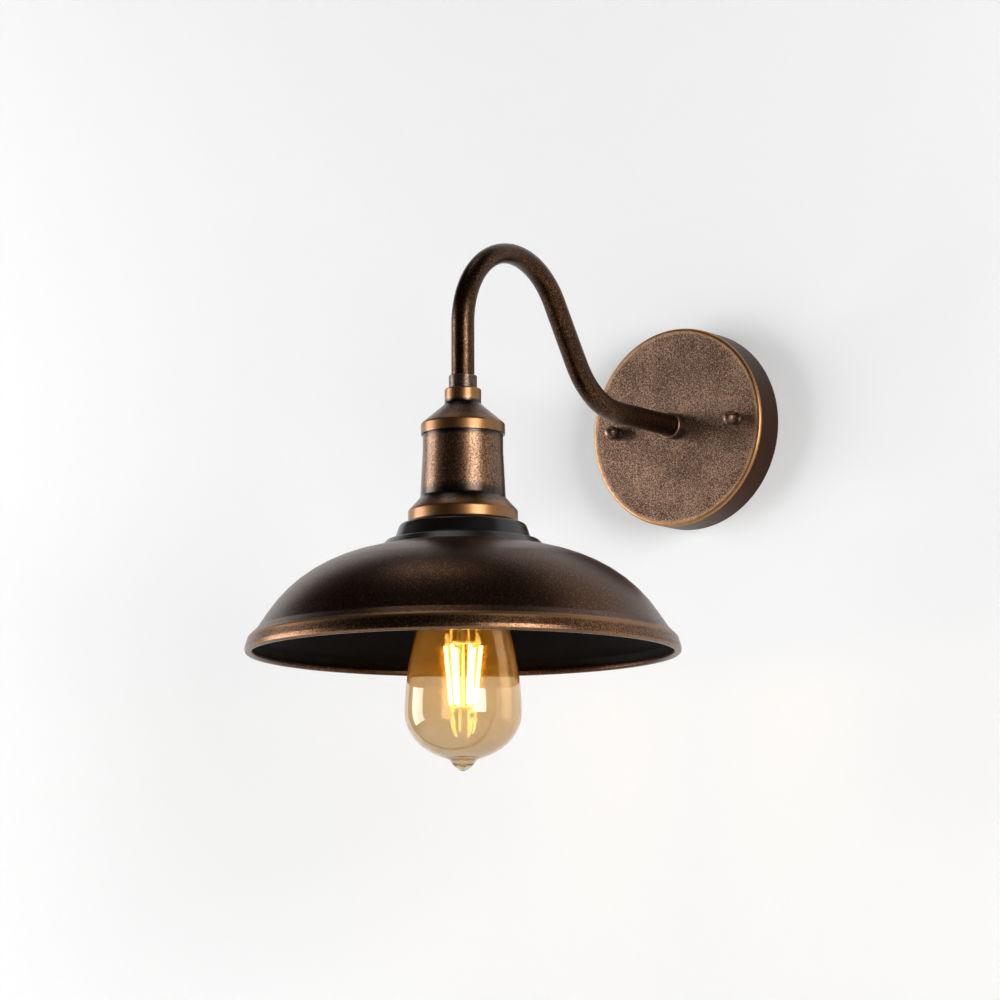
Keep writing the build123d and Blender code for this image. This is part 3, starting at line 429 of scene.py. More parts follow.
@dataclass(frozen=True)
class BlownGlass(Finish):
    """Blown or drawn glass, clear or with a thin coloured film on its inside.

    The film tints what is seen through it, its haze spreads the filaments' light into a golden halo, and
    it glows softly where they light it. Light on its way to a surface behind the glass passes straight
    through, so the glass throws no hard shadow.
    """

    tint: str
    film: str
    film_share: float = 0.0
    haze_share: float = 0.0
    haze_roughness: float = 0.42
    ior: float = 1.5
    streak: float = 14.0
    streak_depth: float = 0.06
    streak_span: Point = (0.35, 0.65)

    def surface(self, tree: Tree, place: Socket) -> Socket:
        """Mixes clear glass with the film's haze and glow.

        Args:
            tree: tree of the finish.
            place: place on the object.

        Returns:
            The surface shader.
        """
        streaks = add_node(tree, "TexNoise", {"Scale": per_mm(self.streak)}, {"Vector": place}).outputs["Fac"]
        tint = linear(self.tint)
        deep = (*(channel * (1.0 - self.streak_depth) for channel in tint[:3]), 1.0)
        stops = list(zip(self.streak_span, (deep, tint)))
        colour = add_node(tree, "ValToRGB", links={0: streaks}, stops=stops).outputs["Color"]
        clear = {"Roughness": 0.0, "IOR": self.ior, "Transmission Weight": 1.0}
        glass = add_node(tree, "BsdfPrincipled", clear, {"Base Color": colour}).outputs[0]
        film = linear(self.film)
        rough = {"Color": film, "Roughness": self.haze_roughness, "IOR": self.ior}
        haze = add_node(tree, "BsdfRefraction", rough).outputs[0]
        glow = add_node(tree, "BsdfTranslucent", {"Color": film}).outputs[0]
        hazed = add_node(tree, "MixShader", {0: self.haze_share}, {1: glass, 2: haze}).outputs[0]
        filmed = add_node(tree, "MixShader", {0: self.film_share}, {1: hazed, 2: glow}).outputs[0]
        passing = add_node(tree, "BsdfTransparent", links={"Color": colour}).outputs[0]
        path = add_node(tree, "LightPath").outputs
        rays = {0: path["Is Shadow Ray"], 1: path["Is Diffuse Ray"]}
        unseen = add_node(tree, "Math", links=rays, operation="MAXIMUM").outputs[0]
        return add_node(tree, "MixShader", links={0: unseen, 1: filmed, 2: passing}).outputs[0]


@dataclass(frozen=True)
class LitPhosphor(Finish):
    """Yellow phosphor round a row of light emitting chips: white hot when lit, with the chips a little brighter."""

    colour: str = "#ffd878"
    strength: float = 64.0
    chip_pitch: float = 1.1
    chip_gain: float = 0.2

    def surface(self, tree: Tree, place: Socket) -> Socket:
        """Lights the phosphor.

        Args:
            tree: tree of the finish.
            place: place on the object.

        Returns:
            The surface shader.
        """
        chips = add_node(
            tree, "TexNoise", {"Scale": per_mm(self.chip_pitch), "Detail": 1.0}, {"Vector": place}
        ).outputs["Fac"]
        dim, full = (1.0 - self.chip_gain) * self.strength, (1.0 + self.chip_gain) * self.strength
        level = add_node(tree, "MapRange", {1: NOISE_LOW, 2: NOISE_HIGH, 3: dim, 4: full}, {0: chips}).outputs[0]
        colour = linear(self.colour)
        values = {"Base Color": colour, "Roughness": 0.5, "Emission Color": colour}
        return add_node(tree, "BsdfPrincipled", values, {"Emission Strength": level}).outputs[0]


@dataclass(frozen=True)
class StudioPaint(Finish):
    """Matt paint of the studio: pale on the wall and the floor, dark on the rest of the room.

    Seen directly, mirrored or through glass it is lifted a little towards white, as an even backdrop. A
    one-sided paint is clear from its back, and a hidden one is clear to the camera.
    """

    colour: str
    lift: float = 0.0
    one_sided: bool = False
    hidden: bool = False

    def surface(self, tree: Tree, place: Socket) -> Socket:
        """Paints the surface.

        Args:
            tree: tree of the finish.
            place: place on the object, which plain paint has no use for.

        Returns:
            The surface shader.
        """
        path = add_node(tree, "LightPath").outputs
        looks = add_node(
            tree, "Math", links={0: path["Is Camera Ray"], 1: path["Is Transmission Ray"]}, operation="MAXIMUM"
        ).outputs[0]
        seen = add_node(tree, "Math", links={0: looks, 1: path["Is Glossy Ray"]}, operation="MAXIMUM").outputs[0]
        share = add_node(tree, "Math", {1: self.lift}, {0: seen}, operation="MULTIPLY").outputs[0]
        paint = add_node(tree, "BsdfDiffuse", {"Color": linear(self.colour)}).outputs[0]
        glow = add_node(tree, "Emission").outputs[0]
        surface = add_node(tree, "MixShader", links={0: share, 1: paint, 2: glow}).outputs[0]
        clear_from = []
        if self.one_sided:
            clear_from.append(add_node(tree, "NewGeometry").outputs["Backfacing"])
        if self.hidden:
            clear_from.append(looks)
        for where in clear_from:
            clear = add_node(tree, "BsdfTransparent").outputs[0]
            surface = add_node(tree, "MixShader", links={0: where, 1: surface, 2: clear}).outputs[0]
        return surface


# Turned and bent shapes


@dataclass(frozen=True)
class Corner:
    """A corner of a turned outline, in mm: distance from the axis, level along it and its bend radius."""

    radius: float
    level: float
    bend: float = 0.0


@dataclass(frozen=True)
class WearAndShade:
    """A place on an outline that is rubbed bright where the amount is above zero, and dark where it is below: black
    lacquer on the shade's crown and step, painted shade in creases, under parts and on the canopy's side.

    With a span it runs up from its level, as a band along the axis.
    """

    radius: float
    level: float
    reach: float
    amount: float
    span: float = 0.0


def bent(corners: Sequence[Vector], bends: Sequence[float], step: float, turn: float) -> Ring:
    """Rounds the corners of a chain of straight runs and samples it.

    Args:
        corners: the corners, in mm.
        bends: bend radius at each corner, zero for a sharp one.
        step: longest straight piece, in mm.
        turn: largest turn between two points of a bend, in degrees.

    Returns:
        Points along the chain, in mm.
    """
    points: Ring = [corners[0].copy()]

    def run_to(goal: Vector) -> None:
        """Adds evenly spaced points.

        Args:
            goal: the last of them.
        """
        start = points[-1].copy()
        length = (goal - start).length
        if length < TINY:
            return
        count = max(1, math.ceil(length / step))
        for i in range(1, count + 1):
            points.append(start.lerp(goal, i / count))

    for before, corner, after, bend in zip(corners, corners[1:], corners[2:], bends[1:]):
        arriving = (corner - before).normalized()
        leaving = (after - corner).normalized()
        angle = arriving.angle(leaving)
        if bend <= 0.0 or angle < STRAIGHT:
            run_to(corner)
            continue
        run_to(corner - arriving * (bend * math.tan(angle / 2.0)))
        inward = (leaving - arriving).normalized()
        centre = corner + inward * (bend / math.cos(angle / 2.0))
        spoke = points[-1] - centre
        count = max(2, math.ceil(math.degrees(angle) / turn))
        for i in range(1, count + 1):
            part = angle * i / count
            points.append(centre + spoke * math.cos(part) + arriving * (bend * math.sin(part)))
    run_to(corners[-1])
    return points


def outline(corners: Sequence[Corner], step: float = 0.8, turn: float = 7.5) -> list[Point]:
    """Samples a turned outline with its rounded corners.

    Args:
        corners: the outline's corners.
        step: longest straight piece, in mm.
        turn: largest turn between two points of a bend, in degrees.

    Returns:
        Radius and level of each point, in mm.
    """
    chain = [Vector((c.radius, c.level, 0.0)) for c in corners]
    return [(p.x, p.y) for p in bent(chain, [c.bend for c in corners], step, turn)]


def walled(points: Sequence[Point], wall: float) -> list[Point]:
    """Closes an open outline into a wall of even thickness, on the right of its direction.

    Args:
        points: the outer outline.
        wall: thickness, in mm.

    Returns:
        The closed outline.
    """
    inner: list[Point] = []
    last = len(points) - 1
    for i, (radius, level) in enumerate(points):
        before, after = points[max(i - 1, 0)], points[min(i + 1, last)]
        run = Vector((after[0] - before[0], after[1] - before[1])).normalized()
        inner.append((max(radius + run.y * wall, 0.0), level - run.x * wall))
    return list(points) + inner[::-1]


def flowing(points: Sequence[Point], start: Point, end: Point, count: int) -> list[Point]:
    """Draws a smooth curve through points, with given directions at its ends.

    Args:
        points: points that it passes.
        start: direction at the first point.
        end: direction at the last point.
        count: samples between two points.

    Returns:
        Points of the curve.
    """
    knots = [Vector(p) for p in points]
    spans = [(b - a).length for a, b in zip(knots, knots[1:])]
    slopes = [Vector(start).normalized()]
    for i in range(1, len(knots) - 1):
        slopes.append(((knots[i + 1] - knots[i - 1]) / (spans[i] + spans[i - 1])).normalized())
    slopes.append(Vector(end).normalized())
    made: list[Point] = [tuple(knots[0])]
    for i, span in enumerate(spans):
        for k in range(1, count + 1):
            t = k / count
            at = (
                knots[i] * (2 * t**3 - 3 * t**2 + 1)
                + slopes[i] * (span * (t**3 - 2 * t**2 + t))
                + knots[i + 1] * (3 * t**2 - 2 * t**3)
                + slopes[i + 1] * (span * (t**3 - t**2))
            )
            made.append(tuple(at))
    return made


def rub_and_shade_at(radius: float, level: float, wear_and_shade: Sequence[WearAndShade], plain: float) -> float:
    """How far a place is rubbed, and below zero how dark it is with lacquer and painted shade.

    Args:
        radius: distance from the axis, in mm.
        level: place along the axis, in mm.
        wear_and_shade: the piece's worn and dark places.
        plain: amount where no worn place reaches.

    Returns:
        The amount, from -1 for the darkest lacquer and painted shade to 1 for bright metal.
    """
    total = plain
    for spot in wear_and_shade:
        beyond = max(0.0, spot.level - level, level - spot.level - spot.span)
        near = 1.0 - math.hypot(radius - spot.radius, beyond) / spot.reach
        if near > 0.0:
            total += spot.amount * near * near * (3.0 - 2.0 * near)
    return max(-1.0, min(1.0, total))


def add_ring(verts: Ring, centre: Vector, across: Vector, along: Vector, count: int) -> list[int]:
    """Adds a ring of corners, or one corner where the ring has no size.

    Args:
        verts: corners so far, in mm.
        centre: middle of the ring.
        across: reach from the middle to the first corner.
        along: reach from the middle to the corner a quarter turn further.
        count: corners of the ring.

    Returns:
        Numbers of the new corners.
    """
    first = len(verts)
    for i in range(count if across.length > TINY else 1):
        angle = FULL_TURN * i / count
        verts.append(centre + across * math.cos(angle) + along * math.sin(angle))
    return list(range(first, len(verts)))


def skin(rows: Sequence[Sequence[int]], closed: bool = False) -> list[Face]:
    """Joins each ring of corners with the next by faces.

    Args:
        rows: corner numbers of each ring, where a ring of one corner is a point.
        closed: whether the last ring is joined with the first too.

    Returns:
        The faces.
    """
    faces: list[Face] = []
    for lower, upper in zip(rows, [*rows[1:], rows[0]] if closed else rows[1:]):
        around = max(len(lower), len(upper))
        for i in range(around):
            j = (i + 1) % around
            corners = (lower[i % len(lower)], lower[j % len(lower)], upper[j % len(upper)], upper[i % len(upper)])
            face = tuple(dict.fromkeys(corners))
            if len(face) > 2:
                faces.append(face)
    return faces


def placed(name: str, data: bpy.types.ID) -> Piece:
    """Puts a mesh, a lamp or a camera into the scene.

    Args:
        name: its name.
        data: the mesh, lamp or camera.

    Returns:
        Its object.
    """
    piece = bpy.data.objects.new(name, data)
    bpy.context.scene.collection.objects.link(piece)
    return piece


def drawn_mesh(name: str, verts: Sequence[Vector], faces: Sequence[Face]) -> bpy.types.Mesh:
    """Makes a mesh.

    Args:
        name: its name.
        verts: its corners, in mm.
        faces: corner numbers of each face.

    Returns:
        The mesh.
    """
    mesh = bpy.data.meshes.new(name)
    mesh.from_pydata([v * MM for v in verts], [], faces)
    return mesh


def metalwork(name: str, verts: Sequence[Vector], faces: Sequence[Face], rub_and_shade: Sequence[float]) -> Piece:
    """Makes a smooth-shaded piece that keeps its sharp edges.

    Args:
        name: the piece's name.
        verts: corners, in mm in the row frame.
        faces: corner numbers of each face.
        rub_and_shade: how far each corner is rubbed, and below zero how dark it is.

    Returns:
        The piece.
    """
    mesh = drawn_mesh(name, verts, faces)
    mesh.attributes.new("rub_and_shade", "FLOAT", "POINT").data.foreach_set("value", rub_and_shade)
    shell = bmesh.new()
    shell.from_mesh(mesh)
    bmesh.ops.recalc_face_normals(shell, faces=shell.faces)
    shell.to_mesh(mesh)
    shell.free()
    mesh.shade_smooth()
    mesh.set_sharp_from_angle(angle=SHARP_ANGLE)
    return placed(name, mesh)


def turned(
    name: str,
    loop: Sequence[Point],
    axle: Axle,
    segments: int,
    wear_and_shade: Sequence[WearAndShade] = (),
    plain: float = 0.0,
    lined_from: Optional[int] = None,
) -> Piece:
    """Turns a closed outline about an axle.

    Args:
        name: the piece's name.
        loop: radius and level of each point, in mm. It closes on itself, or runs from axis to axis.
        axle: line that it turns about.
        segments: divisions of the full turn.
        wear_and_shade: rubbed and dark places.
        plain: how far the rest is rubbed.
        lined_from: number of the first point of the inner skin, whose faces take the second material.

    Returns:
        The piece.
    """
    along = Vector((0.0, 0.0, 1.0)) if axle is Axle.LAMP else Vector((0.0, -1.0, 0.0))
    side = Vector((0.0, 1.0, 0.0)) if axle is Axle.LAMP else Vector((0.0, 0.0, 1.0))
    verts: Ring = []
    rub_and_shade: list[float] = []
    rows: list[list[int]] = []
    for radius, level in loop:
        centre = Vector(axle.value) + along * level
        rows.append(add_ring(verts, centre, Vector((radius, 0.0, 0.0)), side * radius, segments))
        rub_and_shade += [rub_and_shade_at(radius, level, wear_and_shade, plain)] * len(rows[-1])
    piece = metalwork(name, verts, skin(rows, closed=loop[0][0] > TINY), rub_and_shade)
    if lined_from is not None:
        first = rows[lined_from][0]
        for polygon in piece.data.polygons:
            polygon.material_index = 1 if min(polygon.vertices) >= first else 0
    return piece


def swept(
    name: str, path: Sequence[Vector], skins: Point, segments: int, rub_and_shade: float, squeeze: Sequence[float]
) -> Piece:
    """Sweeps a tube along a path that lies in a plane of constant X.

    Args:
        name: the piece's name.
        path: points of the centre line, in mm.
        skins: outer radius and bore radius, in mm.
        segments: divisions of the section.
        rub_and_shade: how far the tube is rubbed.
        squeeze: height of the section across its bend at each point, as a share of the round one.

    Returns:
        The piece.
    """
    verts: Ring = []
    rows: list[list[int]] = []
    side = Vector((1.0, 0.0, 0.0))
    last = len(path) - 1
    for radius, way in zip(skins, (range(last + 1), range(last, -1, -1))):
        for i in way:
            run = (path[min(i + 1, last)] - path[max(i - 1, 0)]).normalized()
            up = side.cross(run) * (radius * squeeze[i])
            rows.append(add_ring(verts, path[i], side * radius, up, segments))
    return metalwork(name, verts, skin(rows, closed=True), [rub_and_shade] * len(verts))


def dressed(
    piece: Piece,
    finish: Finish,
    body: Body,
    replaced: Sequence[str],
    lining: Optional[Finish] = None,
) -> Piece:
    """Gives a piece its finish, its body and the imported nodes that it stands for.

    Args:
        piece: the piece.
        finish: its finish.
        body: body that it rides on.
        replaced: nodes that it stands for.
        lining: finish of its inner skin.

    Returns:
        The same piece.
    """
    for layer in (finish, lining):
        if layer is not None:
            piece.data.materials.append(layer.material())
    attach(piece, body.value)
    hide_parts(*replaced)
    LOG.info("%s stands for %s on body %s", piece.name, ", ".join(replaced), body.value)
    return piece


# Sub-assemblies


@dataclass
class Canopy:
    """Round drum on the wall, its ball nuts and the arm's collar."""

    radius: float = 60.0
    depth: float = 20.0
    wall: float = 1.2
    edge: float = 1.8
    hole_radius: float = 5.2
    ball_radius: float = 4.3
    ball_depth: float = 26.2
    neck_radius: float = 3.3
    neck_bend: float = 0.3
    foot_radius: float = 4.1
    foot_depth: float = 20.1
    foot_height: float = 1.2
    foot_edge: float = 0.35
    bore_radius: float = 2.3
    bore_end: float = 27.4
    collar_radius: float = 8.0
    collar_bore: float = 6.45
    collar_length: float = 8.0
    collar_edge: float = 0.8
    drum_segments: int = 192
    collar_segments: int = 96
    nut_segments: int = 48
    ball_steps: int = 22
    nut_step: float = 0.4
    collar_step: float = 0.5
    face_finish: RubbedBronze = RubbedBronze(
        "rubbed_bronze_canopy",
        patina="#452f24",
        flake="#cda68a",
        # Painted shade: the drum's side is darkened to this reddish brown, as if in shade.
        lacquer_and_shade="#3f2410",
        rubbed="#a47648",
        lacquer_and_shade_metal=1.0,
        flake_share=0.3,
        grain=0.64,
        cloud_depth=0.05,
        roughness=0.42,
        lacquer_and_shade_roughness=0.42,
        coat=0.0,
    )
    # Fittings: their dark colour is painted shade on the nuts' necks under the balls and at the collar's root.
    small_finish: RubbedBronze = RubbedBronze(
        "rubbed_bronze_fittings", patina="#281a0f", rubbed="#86654f", flake_share=0.12
    )

    def drum(self) -> Piece:
        """Turns the drum, with its edge rubbed bright and painted shade on its side.

        Returns:
            The drum.
        """
        corners = [
            Corner(self.radius, 0.0),
            Corner(self.radius, self.depth, self.edge),
            Corner(self.hole_radius, self.depth),
        ]
        loop = walled(outline(corners)[::-1], self.wall)
        wear_and_shade = [
            WearAndShade(self.radius - 1.2, self.depth - 0.2, 3.0, 0.75),
            WearAndShade(self.radius - 0.3, self.depth - 0.9, 1.0, 1.2),
            # Painted shade: the whole side of the drum is darkened.
            WearAndShade(self.radius, 0.0, 2.0, -1.05, self.depth - self.edge - 1.2),
        ]
        return turned("canopy_drum", loop, Axle.WALL, self.drum_segments, wear_and_shade)

    def ball_nut(self, name: str, axle: Axle) -> Piece:
        """Turns one ball cap nut.

        Args:
            name: the nut's name.
            axle: its stud.

        Returns:
            The nut.
        """
        sweep = math.pi - math.asin(self.neck_radius / self.ball_radius)
        ball = []
        for i in range(self.ball_steps + 1):
            angle = sweep * i / self.ball_steps
            ball.append((self.ball_radius * math.sin(angle), self.ball_depth + self.ball_radius * math.cos(angle)))
        foot_top = self.foot_depth + self.foot_height
        corners = [
            Corner(self.neck_radius, ball[-1][1]),
            Corner(self.neck_radius, foot_top, self.neck_bend),
            Corner(self.foot_radius, foot_top, self.foot_edge),
            Corner(self.foot_radius, self.foot_depth, self.foot_edge),
            Corner(self.bore_radius, self.foot_depth),
            Corner(self.bore_radius, self.bore_end),
            Corner(0.0, self.bore_end),
        ]
        wear_and_shade = [
            WearAndShade(0.0, self.ball_depth + self.ball_radius, 4.5, 0.7),
            # Painted shade on the neck under the ball.
            WearAndShade(self.neck_radius, foot_top + 0.6, 1.6, -0.9),
            WearAndShade(self.foot_radius, foot_top, 0.7, 0.5),
        ]
        return turned(name, ball + outline(corners, self.nut_step)[1:], axle, self.nut_segments, wear_and_shade)

    def collar(self) -> Piece:
        """Turns the collar round the arm's root.

        Returns:
            The collar.
        """
        end = self.depth + self.collar_length
        corners = [
            Corner(self.collar_bore, self.depth),
            Corner(self.collar_radius, self.depth),
            Corner(self.collar_radius, end, self.collar_edge),
            Corner(self.collar_bore, end),
            Corner(self.collar_bore, self.depth + SEAM),
        ]
        wear_and_shade = [
            WearAndShade(self.collar_radius, end - 0.2, 1.0, 0.5),
            # Painted shade at the collar's root, against the canopy's face.
            WearAndShade(self.collar_radius, self.depth + 3.0, 4.5, -0.7),
        ]
        loop = outline(corners, self.collar_step)
        return turned("base_collar", loop, Axle.WALL, self.collar_segments, wear_and_shade)

    def build(self) -> None:
        """Builds and dresses every piece."""
        small = self.small_finish
        dressed(self.drum(), self.face_finish, Body.FIXED, ["canopy"])
        left = self.ball_nut("ball_nut_left", Axle.STUD_LEFT)
        right = self.ball_nut("ball_nut_right", Axle.STUD_RIGHT)
        dressed(left, small, Body.NUT_LEFT, ["cap_nut_left"])
        dressed(right, small, Body.NUT_RIGHT, ["cap_nut_right"])
        dressed(self.collar(), small, Body.FIXED, ["arm_base_collar"])


@dataclass
class Gooseneck:
    """Bent tube from the canopy to the cup, and the ferrule at its lower end."""

    tube_radius: float = 6.4
    bore_radius: float = 5.1
    start_depth: float = 20.0
    rise_angle: float = 56.0
    rise_bend: float = 50.0
    rise_length: float = 39.6
    crook_bend: float = 47.7
    leg_length: float = 36.9
    squeeze_depth: float = 0.11
    ferrule_radius: float = 7.8
    ferrule_bore: float = 6.45
    ferrule_height: float = 7.5
    ferrule_edge: float = 0.5
    ferrule_segments: int = 96
    ferrule_step: float = 0.5
    ferrule_rub: float = 0.1
    tube_segments: int = 72
    tube_step: float = 2.5
    tube_rub: float = -0.05
    finish: RubbedBronze = RubbedBronze(
        "rubbed_bronze_tube",
        patina="#322217",
        flake="#7e5e44",
        patina_metal=1.0,
        flake_share=0.15,
        grain_blur=0.14,
        roughness=0.32,
        coat=0.0,
    )
    # Its dark colour is painted shade at the ferrule's lower edge, against the cup.
    ferrule_finish: RubbedBronze = RubbedBronze(
        "rubbed_bronze_ferrule", patina="#22150c", flake="#7c5a40", rubbed="#5a4230", flake_share=0.15
    )

    def slope(self) -> tuple[float, float, float]:
        """Works out where the tube's runs meet.

        Returns:
            Depth of the rise's corner, height of the crook's corner and level of the tube's end, in mm.
        """
        rise = math.radians(self.rise_angle)
        crook = self.crook_bend * math.tan((rise + math.pi / 2.0) / 2.0)
        length = self.rise_bend * math.tan(rise / 2.0) + self.rise_length + crook
        height = length * math.sin(rise)
        return ARM_REACH - length * math.cos(rise), height, height - crook - self.leg_length

    def tube(self) -> Piece:
        """Bends the tube.

        Returns:
            The tube.
        """
        depth, height, end = self.slope()
        corners = [
            Vector((0.0, -self.start_depth, 0.0)),
            Vector((0.0, -depth, 0.0)),
            Vector((0.0, -ARM_REACH, height)),
            Vector((0.0, -ARM_REACH, end)),
        ]
        path = bent(corners, [0.0, self.rise_bend, self.crook_bend, 0.0], self.tube_step, self.tube_step)
        squeeze = [1.0 - self.squeeze_depth * self.crook_share(point) for point in path]
        skins = (self.tube_radius, self.bore_radius)
        return swept("gooseneck_tube", path, skins, self.tube_segments, self.tube_rub, squeeze)

    def crook_share(self, point: Vector) -> float:
        """How far into the crook a point of the centre line is: 0 at the bend's ends, 1 in its middle.

        Args:
            point: the point, in mm.

        Returns:
            The share.
        """
        centre = Vector((0.0, self.crook_bend - ARM_REACH, self.slope()[2] + self.leg_length))
        spoke = point - centre
        turn = math.degrees(math.atan2(spoke.z, -spoke.y))
        whole = 90.0 + self.rise_angle
        return math.sin(math.pi * turn / whole) if 0.0 < turn < whole else 0.0

    def ferrule(self) -> Piece:
        """Turns the ferrule.

        Returns:
            The ferrule.
        """
        low = self.slope()[2]
        high = low + self.ferrule_height
        corners = [
            Corner(self.ferrule_bore, high),
            Corner(self.ferrule_radius, high, self.ferrule_edge),
            Corner(self.ferrule_radius, low, self.ferrule_edge),
            Corner(self.ferrule_bore, low),
            Corner(self.ferrule_bore, high - SEAM),
        ]
        # The upper edge is rubbed bright; the lower edge, against the cup, is darkened as painted shade.
        wear_and_shade = [WearAndShade(self.ferrule_radius, high, 1.2, 0.5), WearAndShade(self.ferrule_radius, low, 1.2, -0.6)]
        loop = outline(corners, self.ferrule_step)
        return turned("tube_ferrule", loop, Axle.LAMP, self.ferrule_segments, wear_and_shade, self.ferrule_rub)

    def build(self) -> None:
        """Builds and dresses every piece."""
        dressed(self.tube(), self.finish, Body.FIXED, ["arm_tube"])
        dressed(self.ferrule(), self.ferrule_finish, Body.FIXED, ["arm_end_ferrule"])


@dataclass
class SocketCup:
    """Bell-shaped cup over the lampholder: neck, cone and bead above, body and foot bead below."""

    wall: float = 0.7
    cap_top: float = -8.7
    hole_radius: float = 5.2
    neck_radius: float = 10.1
    neck_height: float = 8.6
    neck_edge: float = 0.8
    neck_bend: float = 3.0
    cone_height: float = 11.0
    bead_radius: float = 23.15
    bead_height: float = 6.0
    bead_edge: float = 1.6
    top_radius: float = 22.15
    straight: float = 9.0
    straight_bend: float = 40.0
    waist_radius: float = 23.5
    waist_bend: float = 3.5
    body_height: float = 49.7
    flare_height: float = 14.5
    flare_radius: float = 30.2
    foot_height: float = 7.1
    foot_edge: float = 2.0
    lip_width: float = 2.0
    segments: int = 160
    outline_step: float = 0.6
    finish: RubbedBronze = RubbedBronze(
        "rubbed_bronze_cup",
        patina="#38261a",
        flake="#8c6646",
        # Dark colour of the painted shade in the cup's creases, under its bead and at its waist.
        lacquer_and_shade="#2c1e14",
        rubbed="#80582f",
        patina_metal=1.0,
        lacquer_and_shade_metal=1.0,
        flake_share=0.45,
        coat=0.45,
    )

    def upper(self) -> Piece:
        """Turns the upper half.

        Returns:
            The upper half.
        """
        neck_bottom = self.cap_top - self.neck_height
        bead_top = neck_bottom - self.cone_height
        bead_bottom = bead_top - self.bead_height
        corners = [
            Corner(self.hole_radius, self.cap_top),
            Corner(self.neck_radius, self.cap_top, self.neck_edge),
            Corner(self.neck_radius, neck_bottom, self.neck_bend),
            Corner(self.bead_radius, bead_top, self.bead_edge),
            Corner(self.bead_radius, bead_bottom),
        ]
        wear_and_shade = [
            WearAndShade(self.neck_radius, self.cap_top - 3.0, 5.0, 1.0),
            # Painted shade in the crease at the neck's root.
            WearAndShade(self.neck_radius + 0.5, neck_bottom - 0.5, 4.2, -1.0),
            WearAndShade(self.bead_radius - 1.5, bead_top, 5.0, 1.1),
            WearAndShade(self.bead_radius, bead_bottom + 2.4, 4.5, 0.9),
            # Painted shadow line along the bead's lower edge.
            WearAndShade(self.bead_radius, bead_bottom, 0.9, -0.9),
        ]
        loop = walled(outline(corners, self.outline_step), self.wall)
        return turned("cup_upper", loop, Axle.LAMP, self.segments, wear_and_shade)

    def lower(self) -> Piece:
        """Turns the lower half.

        Returns:
            The lower half.
        """
        top = self.cap_top - self.neck_height - self.cone_height - self.bead_height
        bottom = top - self.body_height
        foot = bottom + self.foot_height
        corners = [
            Corner(self.top_radius, top),
            Corner(self.top_radius, top - self.straight, self.straight_bend),
            Corner(self.waist_radius, bottom + self.flare_height, self.waist_bend),
            Corner(self.flare_radius, foot, self.foot_edge),
            Corner(self.flare_radius, bottom, self.foot_edge),
            Corner(self.flare_radius - self.foot_edge - self.lip_width, bottom),
        ]
        wear_and_shade = [
            # Painted shadow under the bead, at the body's top.
            WearAndShade(self.top_radius, top, 3.0, -0.9),
            # Painted shade at the waist above the flare.
            WearAndShade(self.waist_radius + 0.5, bottom + self.flare_height + 1.0, 6.5, -0.65),
            WearAndShade(self.flare_radius - 1.0, foot + 0.2, 4.4, 1.2),
            WearAndShade(self.flare_radius, bottom + 3.4, 4.2, 1.0),
        ]
        loop = walled(outline(corners, self.outline_step), self.wall)
        return turned("cup_lower", loop, Axle.LAMP, self.segments, wear_and_shade)

    def build(self) -> None:
        """Builds and dresses both halves."""
        dressed(self.upper(), self.finish, Body.FIXED, ["socket_cap"])
        dressed(self.lower(), self.finish, Body.FIXED, ["socket_sleeve"])


